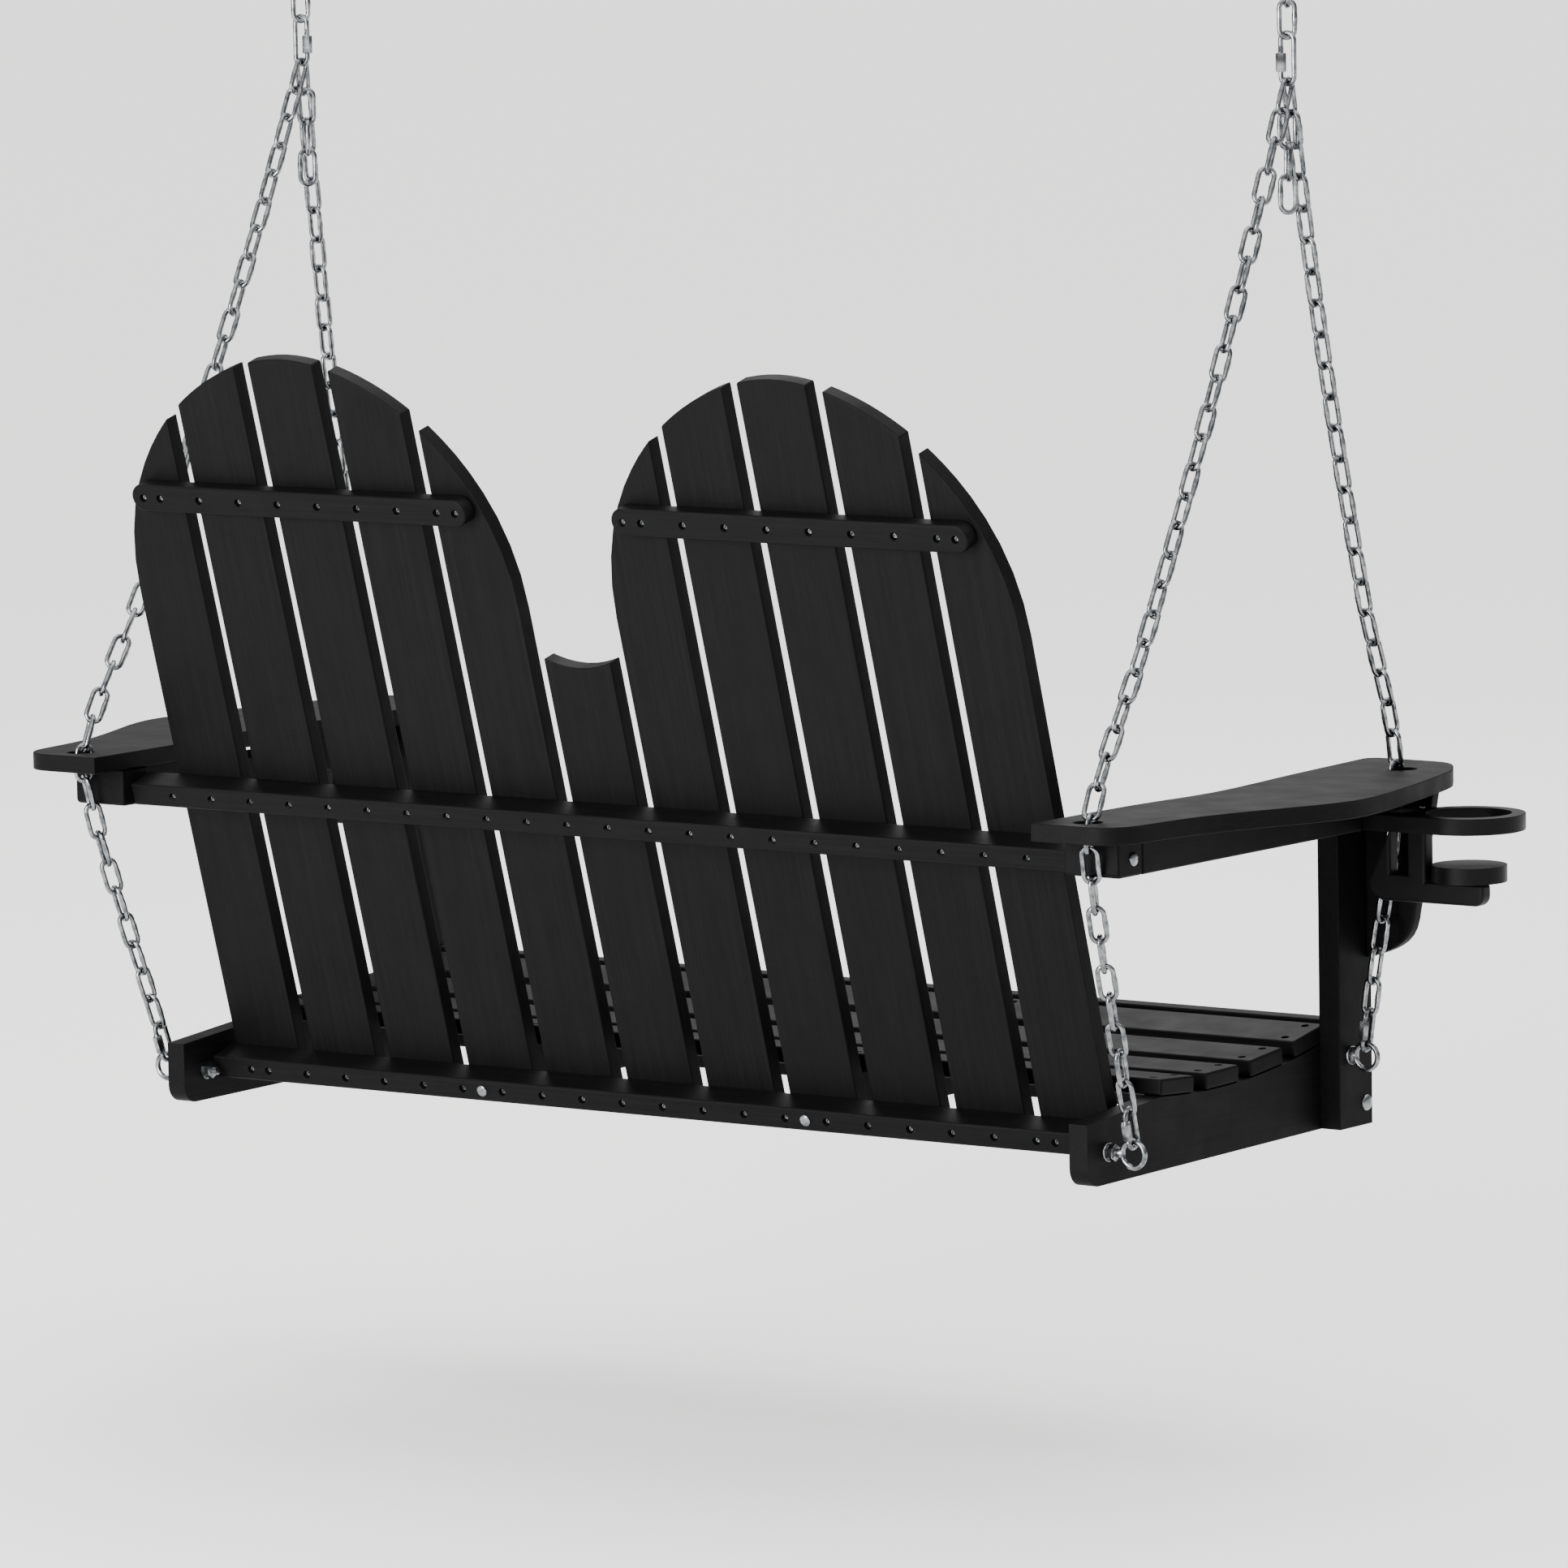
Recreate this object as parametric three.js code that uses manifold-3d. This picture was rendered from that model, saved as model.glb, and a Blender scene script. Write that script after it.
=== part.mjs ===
// Porch swing: a slatted bench for two that hangs on four chain legs from two ceiling eyes.
// Millimetres, +Z up. The origin lies in the ceiling plane, midway between the two eyes.
// The sitter faces -Y, so +X is the sitter's left.
import * as THREE from "three";
import { mergeVertices } from "three/addons/utils/BufferGeometryUtils.js";
import Module from "manifold-3d";

// ---- Driving dimensions -----------------------------------------------------------------
// Heights marked "up" and depths are measured from the middle of the mid rail's rear face.

const GAP = 0.3; // between pieces that touch

// Back panel
const SLAT_COUNT = 11;
const SLAT_WIDTH = 89;
const SLAT_SPACE = 20; // open space between neighbours
const SLAT_THICK = 18.5;
const RECLINE = THREE.MathUtils.degToRad(16);
const BACK_FOOT = -338; // lower ends of the back slats
const FAN_SLATS = 5; // slats under each rounded crown
const FAN_STRAIGHT = 240; // where a crown starts to close in
const FAN_TOP = 519.5; // a crown's peak
const FAN_SHOULDER = 180; // how far up the shoulder's tangent reaches
const FAN_CROWN = 105; // how far out the peak's tangent reaches
const CENTRE_TOP = 188; // top corners of the short middle slat
const CENTRE_DIP = 9; // hollow in its top

// Rails on the back panel's rear face
const RAIL_DEPTH = 38;
const RAIL_TALL = 25.4;
const MID_RAIL_UP = 10.8;
const MID_RAIL_OVERHANG = 40.5; // beyond the outermost slat
const BOTTOM_RAIL_UP = -315;
const BRACE_THICK = 18;
const BRACE_TALL = 31;
const BRACE_UP = 357.4;
const BRACE_INSET = 32.5; // from the fan's edge to the brace's round end

// Seat
const SEAT_SLATS = 4;
const SEAT_SLAT_WIDTH = 64;
const SEAT_SPACE = 21.3;
const SEAT_SLAT_THICK = 18.5;
const SEAT_RADIUS = 1000; // the hollow of the seat
const SEAT_LOW_Y = -275;
const SEAT_LOW_UP = -255;
const SEAT_REAR_ARC = 65.6; // from the lowest line back to the rear slat's middle

// Boards under the seat
const SIDE_CLEARANCE = 6; // beside the outermost back slats
const SIDE_THICK = 23;
const SIDE_BOTTOM = -344;
const SIDE_HEEL = 5; // the rear end's foot, below the front end's
const SIDE_REAR = -38;
const SIDE_REAR_TALL = 62;
const SIDE_CORNER = 20; // rounded lower rear corner
const STRINGER_THICK = 25;
const STRINGER_BOTTOM = -318;

// Front frame
const POST_THICK = 26;
const POST_DEPTH = 64;
const POST_PROUD = 3; // in front of the valance
const VALANCE_THICK = 25;
const VALANCE_TOP = -230.5;
const VALANCE_CLEARANCE = 19.7; // in front of the seat slats

// Arms
const ARM_THICK = 19;
const ARM_TOP = 48;
const ARM_REAR = 69;
const ARM_FRONT_OVERHANG = 49; // beyond the posts
const ARM_FRONT_CORNER = 16;
const ARM_REAR_CORNER = 46;
const CHAIN_HOLE_RADIUS = 15.5;

// Beam and block under each arm, and the corbel at each post
const BEAM_TALL = 41;
const BEAM_WIDTH = 53;
const BEAM_NOTCH_REAR = -209;
const BEAM_NOTCH_FRONT = -327;
const BEAM_NOTCH_DEEP = 12;
const BLOCK_REAR = 15;
const BLOCK_FRONT = -30;
const BLOCK_CORNER = 6;
const CORBEL_THICK = 16;
const CORBEL_PROUD = 4; // in front of the post
const CORBEL_REACH = 89;
const CORBEL_LOWER_REACH = 62;
const CORBEL_WAIST = -118;
const CORBEL_TIP = -163;

// Cup holders
const CUP_HOLE_RADIUS = 46;
const CUP_RIM = 15;
const CUP_INNER_REACH = 88; // from the post's face to the ring's near side
const CUP_SETBACK = 28; // the ring's middle, in front of the post's rear
const CUP_PLATE_THICK = 18;
const CUP_PLATE_TOP = 6.7;
const CUP_PLATE_CORNER = 8;
const CUP_SLOT_WIDTH = 24;
const CUP_SLOT_LONG = 44;
const CUP_SLOT_RIM = 5; // between the slot and the corbel
const BRACKET_THICK = 18;
const BRACKET_REAR_INSET = 36; // from the plate's rear edge
const BRACKET_REACH = 36; // from the post's face
const BRACKET_WIDTH = 73;
const BRACKET_ARM_REACH = 181;
const BRACKET_ARM_TOP = -67.3;
const BRACKET_BOTTOM = -91;
const BRACKET_CORNER = 20;
const BRACKET_SLOT_REACH = 64;
const BRACKET_SLOT_WIDTH = 22;
const BRACKET_SLOT_BOTTOM = -61;
const COASTER_RADIUS = 40.7;
const COASTER_THICK = 18;

// Eye bolts
const EYE_RADIUS = 14; // ring centre line
const EYE_WIRE = 6;
const SHANK_RADIUS = 5;
const SHANK_CLEARANCE = 0.4;
const NUT_RADIUS = 9.5;
const NUT_THICK = 8;
const WASHER_RADIUS = 12;
const WASHER_THICK = 2;
const THREAD_END = 7; // shank beyond the nut
const REAR_EYE_BEHIND = 14; // from the bottom rail's rear face
const REAR_EYE_RISE = 29; // over the side board's lower edge
const REAR_EYE_COLLAR = 15;
const FRONT_EYE_SETBACK = 23; // in front of the post's rear
const FRONT_EYE_DROP = 17; // under the line of the seat slats' undersides
const FRONT_EYE_COLLAR = 2.5;

// Chain and quick links
const CHAIN_RADIUS = 6; // plain bar that stands for a run of chain
const CHAIN_STEP_LONG = 50; // between the sections of a bent bar
const WIRE = 5.5;
const LINK_WIDE = 22; // quick links, outside
const APEX_LINK_LONG = 60;
const EYE_LINK_LONG = 50;
const LINK_PLAY = 1.2; // between hooked wires
const SLEEVE_LONG = 20;
const SLEEVE_RADIUS = 5.6;
const SLEEVE_CLEARANCE = 0.4;
const SLEEVE_TRAVEL = 9;

// Suspension
const APEX_REACH = 19; // the chains' meeting point, outside the post's face
const APEX_Y = -372;
const APEX_UP = 788;
const LEG_START = 30; // below the meeting point
const REAR_LEG_SAG = 15; // a leg's middle hangs this far below a straight line
const FRONT_LEG_SAG = 10;
const REAR_HOLE_REACH = 29; // outside the post's face
const REAR_HOLE_BEHIND = 19; // behind the block
const FRONT_HOLE_REACH = 61;
const FRONT_HOLE_SETBACK = 36; // in front of the post's rear
const REAR_LEAN = new THREE.Vector2(-1, -6); // a taut leg leans on the rim of its hole
const FRONT_LEAN = new THREE.Vector2(-5, 6);
const UPPER_CHAIN_DROP = 116; // from the ceiling eye's hanging point down to the meeting point
const CEILING_EYE_DROP = 41; // from the ceiling down to the eye's hanging point
const HOOK_RADIUS = 14;
const HOOK_WIRE = 8;
const PLATE_SIDE = 64;
const PLATE_THICK = 6;

// ---- Derived values ---------------------------------------------------------------------

const PITCH = SLAT_WIDTH + SLAT_SPACE;
const PANEL_HALF = (PITCH * SLAT_COUNT - SLAT_SPACE) / 2;
const PANEL_Y = -RAIL_DEPTH / Math.cos(RECLINE); // the panel's rear face at the mid rail
const FAN_HALF = (PITCH * FAN_SLATS - SLAT_SPACE) / 2;
const FAN_CENTRE = ((SLAT_COUNT + 1) / 4) * PITCH;
const MIDDLE_SLAT = (SLAT_COUNT + 1) / 2;
const MID_RAIL_END = PANEL_HALF + MID_RAIL_OVERHANG;

const SIDE_INNER = PANEL_HALF + SIDE_CLEARANCE;
const SIDE_OUTER = SIDE_INNER + SIDE_THICK;
const SIDE_HEEL_UP = SIDE_BOTTOM - SIDE_HEEL;
const POST_INNER = SIDE_OUTER + GAP;
const POST_OUTER = POST_INNER + POST_THICK;
const BEAM_INNER = POST_OUTER + GAP;
const BEAM_OUTER = BEAM_INNER + BEAM_WIDTH;

const SEAT_PITCH = SEAT_SLAT_WIDTH + SEAT_SPACE;
const SEAT_CENTRE_UP = SEAT_LOW_UP + SEAT_RADIUS;
const slatTurn = (number) => (SEAT_REAR_ARC - (SEAT_SLATS - number) * SEAT_PITCH) / SEAT_RADIUS;
const FRONT_SLAT_TURN = slatTurn(1);
const SEAT_FRONT =
  SEAT_LOW_Y +
  (SEAT_RADIUS + SEAT_SLAT_THICK) * Math.sin(FRONT_SLAT_TURN) -
  (SEAT_SLAT_WIDTH / 2) * Math.cos(FRONT_SLAT_TURN);
const SLAT_SAGITTA = SEAT_SLAT_WIDTH ** 2 / (8 * (SEAT_RADIUS + SEAT_SLAT_THICK));
const BOARD_RADIUS = SEAT_RADIUS + SEAT_SLAT_THICK + SLAT_SAGITTA + GAP;

const VALANCE_REAR = SEAT_FRONT - VALANCE_CLEARANCE;
const VALANCE_FRONT = VALANCE_REAR - VALANCE_THICK;
const POST_FRONT = VALANCE_FRONT - POST_PROUD;
const POST_REAR = POST_FRONT + POST_DEPTH;
const ARM_FRONT = POST_FRONT - ARM_FRONT_OVERHANG;
const ARM_BOTTOM = ARM_TOP - ARM_THICK;
const BEAM_TOP = ARM_BOTTOM - GAP;
const BEAM_BOTTOM = BEAM_TOP - BEAM_TALL;
const CORBEL_FRONT = POST_FRONT - CORBEL_PROUD;
const CORBEL_REAR = CORBEL_FRONT + CORBEL_THICK;

const RIM_RADIUS = CUP_HOLE_RADIUS + CUP_RIM;
const CUP_REACH = CUP_INNER_REACH + RIM_RADIUS;
const CUP_CENTRE = new THREE.Vector2(POST_OUTER + CUP_REACH, POST_REAR - CUP_SETBACK);
const CUP_PLATE_REAR = CUP_CENTRE.y + RIM_RADIUS;
const CUP_PLATE_BOTTOM = CUP_PLATE_TOP - CUP_PLATE_THICK;
const BEAM_FRONT = CUP_PLATE_REAR + GAP;
const BRACKET_REAR = CUP_PLATE_REAR - BRACKET_REAR_INSET;
const BRACKET_FRONT = BRACKET_REAR - BRACKET_THICK;

const REAR_HOLE = new THREE.Vector2(POST_OUTER + REAR_HOLE_REACH, BLOCK_REAR + REAR_HOLE_BEHIND);
const FRONT_HOLE = new THREE.Vector2(POST_OUTER + FRONT_HOLE_REACH, POST_REAR - FRONT_HOLE_SETBACK);
const APEX = new THREE.Vector3(POST_OUTER + APEX_REACH, APEX_Y, APEX_UP);
const PIVOT_UP = APEX_UP + UPPER_CHAIN_DROP; // where the upper chain hangs in the ceiling eye
const CEILING_UP = PIVOT_UP + CEILING_EYE_DROP;

// ---- Materials --------------------------------------------------------------------------

const LUMBER = { color: 0x242527, roughness: 0.55, metalness: 0 };
const MOULDED = { color: 0x1f2021, roughness: 0.5, metalness: 0 };
const PLATED = { color: 0xc9ccd0, roughness: 0.25, metalness: 1 };

// ---- Helpers ----------------------------------------------------------------------------

const wasm = await Module();
wasm.setup();

/** A closed geometry as a manifold-3d solid. */
function solid(geometry) {
  const bare = geometry.clone();
  bare.deleteAttribute("normal");
  bare.deleteAttribute("uv");
  const merged = mergeVertices(bare, 1e-4);
  return new wasm.Manifold(
    new wasm.Mesh({
      numProp: 3,
      vertProperties: merged.attributes.position.array,
      triVerts: new Uint32Array(merged.index.array),
    }),
  );
}

/** A manifold-3d solid as a flat-shaded geometry. */
function geometryOf(shape) {
  const mesh = shape.getMesh();
  const indexed = new THREE.BufferGeometry();
  indexed.setAttribute("position", new THREE.BufferAttribute(mesh.vertProperties, 3));
  indexed.setIndex(new THREE.BufferAttribute(mesh.triVerts, 1));
  const flat = indexed.toNonIndexed();
  flat.computeVertexNormals();
  return flat;
}

const join = (...geometries) =>
  geometryOf(geometries.map(solid).reduce((whole, piece) => whole.add(piece)));

const cut = (geometry, ...tools) =>
  geometryOf(tools.map(solid).reduce((left, tool) => left.subtract(tool), solid(geometry)));

const points = (pairs) => pairs.map(([u, v]) => new THREE.Vector2(u, v));

/** Extrudes a shape drawn in (x, y) from z0 to z1. */
function alongZ(shape, z0, z1, curveSegments = 8) {
  const options = { depth: z1 - z0, bevelEnabled: false, curveSegments };
  return new THREE.ExtrudeGeometry(shape, options).translate(0, 0, z0);
}

/** Extrudes a shape drawn in (x, z) from y0 to y1. */
function alongY(shape, y0, y1) {
  return alongZ(shape, -y1, -y0).rotateX(Math.PI / 2);
}

/** Extrudes a shape drawn in (y, z) from x0 to x1. */
function alongX(shape, x0, x1) {
  const [x, y, z] = [new THREE.Vector3(1, 0, 0), new THREE.Vector3(0, 1, 0), new THREE.Vector3(0, 0, 1)];
  return alongZ(shape, x0, x1).applyMatrix4(new THREE.Matrix4().makeBasis(y, z, x));
}

function box(x0, x1, y0, y1, z0, z1) {
  const geometry = new THREE.BoxGeometry(x1 - x0, y1 - y0, z1 - z0);
  return geometry.translate((x0 + x1) / 2, (y0 + y1) / 2, (z0 + z1) / 2);
}

/** Turns a piece drawn along an axis so that it points from one place to another. */
function aim(geometry, drawnAlong, from, to) {
  const direction = to.clone().sub(from).normalize();
  const turn = new THREE.Quaternion().setFromUnitVectors(drawnAlong, direction);
  return geometry.applyQuaternion(turn).translate(from.x, from.y, from.z);
}

/** A cylinder from one point to another. */
function rod(from, to, radius, sides = 8) {
  const length = from.distanceTo(to);
  const upright = new THREE.CylinderGeometry(radius, radius, length, sides).translate(0, length / 2, 0);
  return aim(upright, new THREE.Vector3(0, 1, 0), from, to);
}

/** A rod along X. */
function rodX(x0, x1, y, z, radius, sides = 12) {
  return rod(new THREE.Vector3(x0, y, z), new THREE.Vector3(x1, y, z), radius, sides);
}

/** A bar with round ends, standing upright around the origin. */
function stadium(width, height) {
  const shape = new THREE.Shape();
  const radius = width / 2;
  const straight = height / 2 - radius;
  shape.absarc(0, straight, radius, 0, Math.PI, false);
  shape.absarc(0, -straight, radius, Math.PI, 2 * Math.PI, false);
  shape.closePath();
  return shape;
}

/** A round hole in a shape. */
function roundHole(x, y, radius) {
  const path = new THREE.Path();
  path.absarc(x, y, radius, 0, 2 * Math.PI, true);
  return path;
}

/** A point on the way from one place to another. */
function towards(from, to, distance) {
  return from.clone().add(to.clone().sub(from).normalize().multiplyScalar(distance));
}

function add(parent, name, geometry, look) {
  const mesh = new THREE.Mesh(geometry, new THREE.MeshStandardMaterial(look));
  mesh.name = name;
  parent.add(mesh);
  return mesh;
}

/** Adds a left piece and its mirror image. */
function addPair(parent, name, geometry, look) {
  add(parent, name + "_left", geometry, look);
  add(parent, name + "_right", geometry, look).scale.x = -1;
}

// ---- Frames -----------------------------------------------------------------------------

const root = new THREE.Group();
const bench = new THREE.Group(); // its origin is the middle of the mid rail's rear face
bench.position.set(0, -APEX_Y, -CEILING_UP);
root.add(bench);
const back = new THREE.Group(); // z runs up along the slats and y out of their rear faces
back.position.y = PANEL_Y;
back.rotation.x = -RECLINE;
bench.add(back);

// ---- Back panel -------------------------------------------------------------------------

const shoulder = new THREE.CubicBezierCurve(
  new THREE.Vector2(FAN_HALF, FAN_STRAIGHT),
  new THREE.Vector2(FAN_HALF, FAN_STRAIGHT + FAN_SHOULDER),
  new THREE.Vector2(FAN_CROWN, FAN_TOP),
  new THREE.Vector2(0, FAN_TOP),
);

/** The height of a crown at this distance from its centre line. */
function crownHeight(offset) {
  const distance = Math.min(Math.abs(offset), FAN_HALF);
  let low = 0;
  let high = 1;
  for (let halving = 0; halving < 30; halving++) {
    const middle = (low + high) / 2;
    if (shoulder.getPoint(middle).x > distance) low = middle;
    else high = middle;
  }
  return shoulder.getPoint(low).y;
}

/** A back slat from its foot up to a top edge given as a height at each x. */
function backSlat(x, steps, topAt) {
  const left = x - SLAT_WIDTH / 2;
  const right = x + SLAT_WIDTH / 2;
  const outline = [[left, BACK_FOOT], [right, BACK_FOOT]];
  for (let step = 0; step <= steps; step++) {
    // closer steps at the slat's edges, where an outer crown falls steeply
    const share = (1 - Math.cos((Math.PI * step) / steps)) / 2;
    const at = right + (left - right) * share;
    outline.push([at, topAt(at)]);
  }
  return alongY(new THREE.Shape(points(outline)), -SLAT_THICK, 0);
}

function hollowTop(x) {
  return CENTRE_TOP - CENTRE_DIP * (1 - (x / (SLAT_WIDTH / 2)) ** 2);
}

for (let number = 1; number <= SLAT_COUNT; number++) {
  const x = (MIDDLE_SLAT - number) * PITCH;
  const fanCentre = Math.sign(x) * FAN_CENTRE;
  const topAt = number === MIDDLE_SLAT ? hollowTop : (at) => crownHeight(at - fanCentre);
  add(back, "back_slat_" + number, backSlat(x, 10, topAt), LUMBER);
}

/** A rail across the back panel's rear face. */
function rail(half, up) {
  return box(-half, half, GAP, RAIL_DEPTH, up - RAIL_TALL / 2, up + RAIL_TALL / 2);
}

const brace = alongY(stadium(BRACE_TALL, 2 * (FAN_HALF - BRACE_INSET)), -BRACE_THICK / 2, BRACE_THICK / 2)
  .rotateY(Math.PI / 2)
  .translate(FAN_CENTRE, GAP + BRACE_THICK / 2, BRACE_UP);
addPair(back, "upper_brace", brace, LUMBER);
add(back, "mid_rail", rail(MID_RAIL_END, MID_RAIL_UP), LUMBER);
add(back, "bottom_rail", rail(SIDE_INNER - GAP, BOTTOM_RAIL_UP), LUMBER);

// ---- Seat -------------------------------------------------------------------------------

for (let number = 1; number <= SEAT_SLATS; number++) {
  const half = SEAT_SLAT_WIDTH / 2;
  const shape = box(-SIDE_OUTER, SIDE_OUTER, -half, half, -SEAT_SLAT_THICK, 0);
  const slat = add(bench, "seat_slat_" + number, shape, LUMBER);
  const turn = slatTurn(number);
  slat.position.y = SEAT_LOW_Y + SEAT_RADIUS * Math.sin(turn);
  slat.position.z = SEAT_CENTRE_UP - SEAT_RADIUS * Math.cos(turn);
  slat.rotation.x = turn;
}

/** How high a board may reach under the seat slats at y. */
function boardTop(y) {
  return SEAT_CENTRE_UP - Math.sqrt(BOARD_RADIUS ** 2 - (y - SEAT_LOW_Y) ** 2);
}

/** The depth of the back slats' front faces at a height. */
function panelFront(z) {
  return PANEL_Y + (z * Math.sin(RECLINE) - SLAT_THICK - GAP) / Math.cos(RECLINE);
}

const SEAT_REAR = SEAT_LOW_Y + SEAT_RADIUS * Math.sin(slatTurn(SEAT_SLATS)) + SEAT_SLAT_WIDTH / 2;

/** A hollowed top edge under the seat slats, from the rear slat to the valance. */
function hollowEdge() {
  const steps = 12;
  const front = VALANCE_REAR + GAP;
  return Array.from({ length: steps + 1 }, (_, step) => {
    const y = SEAT_REAR + ((front - SEAT_REAR) * step) / steps;
    return [y, boardTop(y)];
  });
}

const sideShape = new THREE.Shape();
sideShape.moveTo(VALANCE_REAR + GAP, SIDE_BOTTOM);
sideShape.lineTo(SIDE_REAR - SIDE_CORNER, SIDE_HEEL_UP);
sideShape.absarc(SIDE_REAR - SIDE_CORNER, SIDE_HEEL_UP + SIDE_CORNER, SIDE_CORNER, -Math.PI / 2, 0, false);
sideShape.lineTo(SIDE_REAR, SIDE_BOTTOM + SIDE_REAR_TALL);
for (const [y, z] of hollowEdge()) sideShape.lineTo(y, z);

const REAR_EYE_UP = SIDE_BOTTOM + REAR_EYE_RISE;
const RAIL_REAR_Y = PANEL_Y + (RAIL_DEPTH + REAR_EYE_UP * Math.sin(RECLINE)) / Math.cos(RECLINE);
const REAR_EYE_Y = RAIL_REAR_Y + REAR_EYE_BEHIND;
const FRONT_EYE_Y = POST_REAR - FRONT_EYE_SETBACK;
const FRONT_EYE_UP = boardTop(FRONT_EYE_Y) - FRONT_EYE_DROP;

/** The bore that an eye bolt's shank passes with some play. */
const shankBore = (x0, x1, y, z) => rodX(x0 - 1, x1 + 1, y, z, SHANK_RADIUS + SHANK_CLEARANCE);

const sideBoard = cut(
  alongX(sideShape, SIDE_INNER, SIDE_OUTER),
  shankBore(SIDE_INNER, SIDE_OUTER, REAR_EYE_Y, REAR_EYE_UP),
  shankBore(SIDE_INNER, SIDE_OUTER, FRONT_EYE_Y, FRONT_EYE_UP),
);
addPair(bench, "side_board", sideBoard, LUMBER);

const stringerRear = hollowEdge()[0][1];
const stringerShape = new THREE.Shape(
  points([
    [VALANCE_REAR + GAP, STRINGER_BOTTOM],
    [panelFront(STRINGER_BOTTOM), STRINGER_BOTTOM],
    [panelFront(stringerRear), stringerRear],
    ...hollowEdge(),
  ]),
);
const stringerMiddle = (MIDDLE_SLAT - 4) * PITCH; // behind the foot of the fourth slat
const stringer = alongX(
  stringerShape,
  stringerMiddle - STRINGER_THICK / 2,
  stringerMiddle + STRINGER_THICK / 2,
);
addPair(bench, "seat_stringer", stringer, LUMBER);

// ---- Front frame ------------------------------------------------------------------------

const valance = box(-SIDE_OUTER, SIDE_OUTER, VALANCE_FRONT, VALANCE_REAR, SIDE_BOTTOM, VALANCE_TOP);
add(bench, "front_valance", valance, LUMBER);
const post = cut(
  box(POST_INNER, POST_OUTER, POST_FRONT, POST_REAR, SIDE_BOTTOM, BEAM_TOP),
  shankBore(POST_INNER, POST_OUTER, FRONT_EYE_Y, FRONT_EYE_UP),
);
addPair(bench, "front_post", post, LUMBER);

// ---- Arms -------------------------------------------------------------------------------

/** The arm from above: narrow at the rear, a wide bulge on its outside, full at the front. */
function armShape() {
  const x = (reach) => POST_OUTER + reach;
  const frontInner = x(-30);
  const corner = ARM_FRONT_CORNER;
  const inner = new THREE.SplineCurve(
    points([
      [x(-19), ARM_REAR],
      [x(-15), -110],
      [x(-3), -250],
      [x(-18), ARM_FRONT + 172],
      [frontInner, ARM_FRONT + corner],
    ]),
  );
  const outer = new THREE.SplineCurve(
    points([
      [x(100), ARM_FRONT + 39],
      [x(118), ARM_FRONT + 75],
      [x(151), ARM_FRONT + 204],
      [x(170), ARM_FRONT + 310],
      [x(162), -222],
      [x(126), -128],
      [x(104), -60],
      [x(92), ARM_REAR - ARM_REAR_CORNER],
    ]),
  );
  const shape = new THREE.Shape(inner.getPoints(16));
  shape.absarc(frontInner + corner, ARM_FRONT + corner, corner, Math.PI, 1.5 * Math.PI, false);
  shape.lineTo(x(52), ARM_FRONT);
  shape.quadraticCurveTo(x(82), ARM_FRONT, x(100), ARM_FRONT + 39);
  for (const point of outer.getPoints(28).slice(1)) shape.lineTo(point.x, point.y);
  shape.quadraticCurveTo(x(87), ARM_REAR, x(92 - ARM_REAR_CORNER), ARM_REAR);
  shape.holes.push(roundHole(REAR_HOLE.x, REAR_HOLE.y, CHAIN_HOLE_RADIUS));
  shape.holes.push(roundHole(FRONT_HOLE.x, FRONT_HOLE.y, CHAIN_HOLE_RADIUS));
  return shape;
}
addPair(bench, "arm", alongZ(armShape(), ARM_BOTTOM, ARM_TOP), LUMBER);

const beamShape = new THREE.Shape(
  points([
    [BEAM_FRONT, BEAM_BOTTOM],
    [BLOCK_FRONT - GAP, BEAM_BOTTOM],
    [BLOCK_FRONT - GAP, BEAM_TOP],
    [BEAM_NOTCH_REAR, BEAM_TOP],
    [BEAM_NOTCH_REAR, BEAM_TOP - BEAM_NOTCH_DEEP],
    [BEAM_NOTCH_FRONT, BEAM_TOP - BEAM_NOTCH_DEEP],
    [BEAM_NOTCH_FRONT, BEAM_TOP],
    [BEAM_FRONT, BEAM_TOP],
  ]),
);
addPair(bench, "arm_beam", alongX(beamShape, BEAM_INNER, BEAM_OUTER), LUMBER);

const blockShape = new THREE.Shape();
blockShape.moveTo(BLOCK_FRONT, BEAM_TOP);
blockShape.lineTo(BLOCK_FRONT, BEAM_BOTTOM);
blockShape.lineTo(BLOCK_REAR - BLOCK_CORNER, BEAM_BOTTOM);
blockShape.absarc(
  BLOCK_REAR - BLOCK_CORNER, BEAM_BOTTOM + BLOCK_CORNER, BLOCK_CORNER,
  -Math.PI / 2, 0, false,
);
blockShape.lineTo(BLOCK_REAR, BEAM_TOP);
addPair(bench, "rear_arm_block", alongX(blockShape, MID_RAIL_END + GAP, BEAM_OUTER), LUMBER);

const corbelShape = new THREE.Shape();
corbelShape.moveTo(BEAM_INNER, BEAM_TOP);
corbelShape.lineTo(BEAM_INNER, CORBEL_TIP);
corbelShape.bezierCurveTo(
  BEAM_INNER + CORBEL_LOWER_REACH / 2, CORBEL_TIP + 10,
  BEAM_INNER + CORBEL_LOWER_REACH - 6, CORBEL_WAIST - 30,
  BEAM_INNER + CORBEL_LOWER_REACH, CORBEL_WAIST,
);
corbelShape.lineTo(BEAM_INNER + CORBEL_REACH, BEAM_TOP);
addPair(bench, "corbel", alongY(corbelShape, CORBEL_FRONT, CORBEL_REAR), LUMBER);

// ---- Cup holders ------------------------------------------------------------------------

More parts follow.
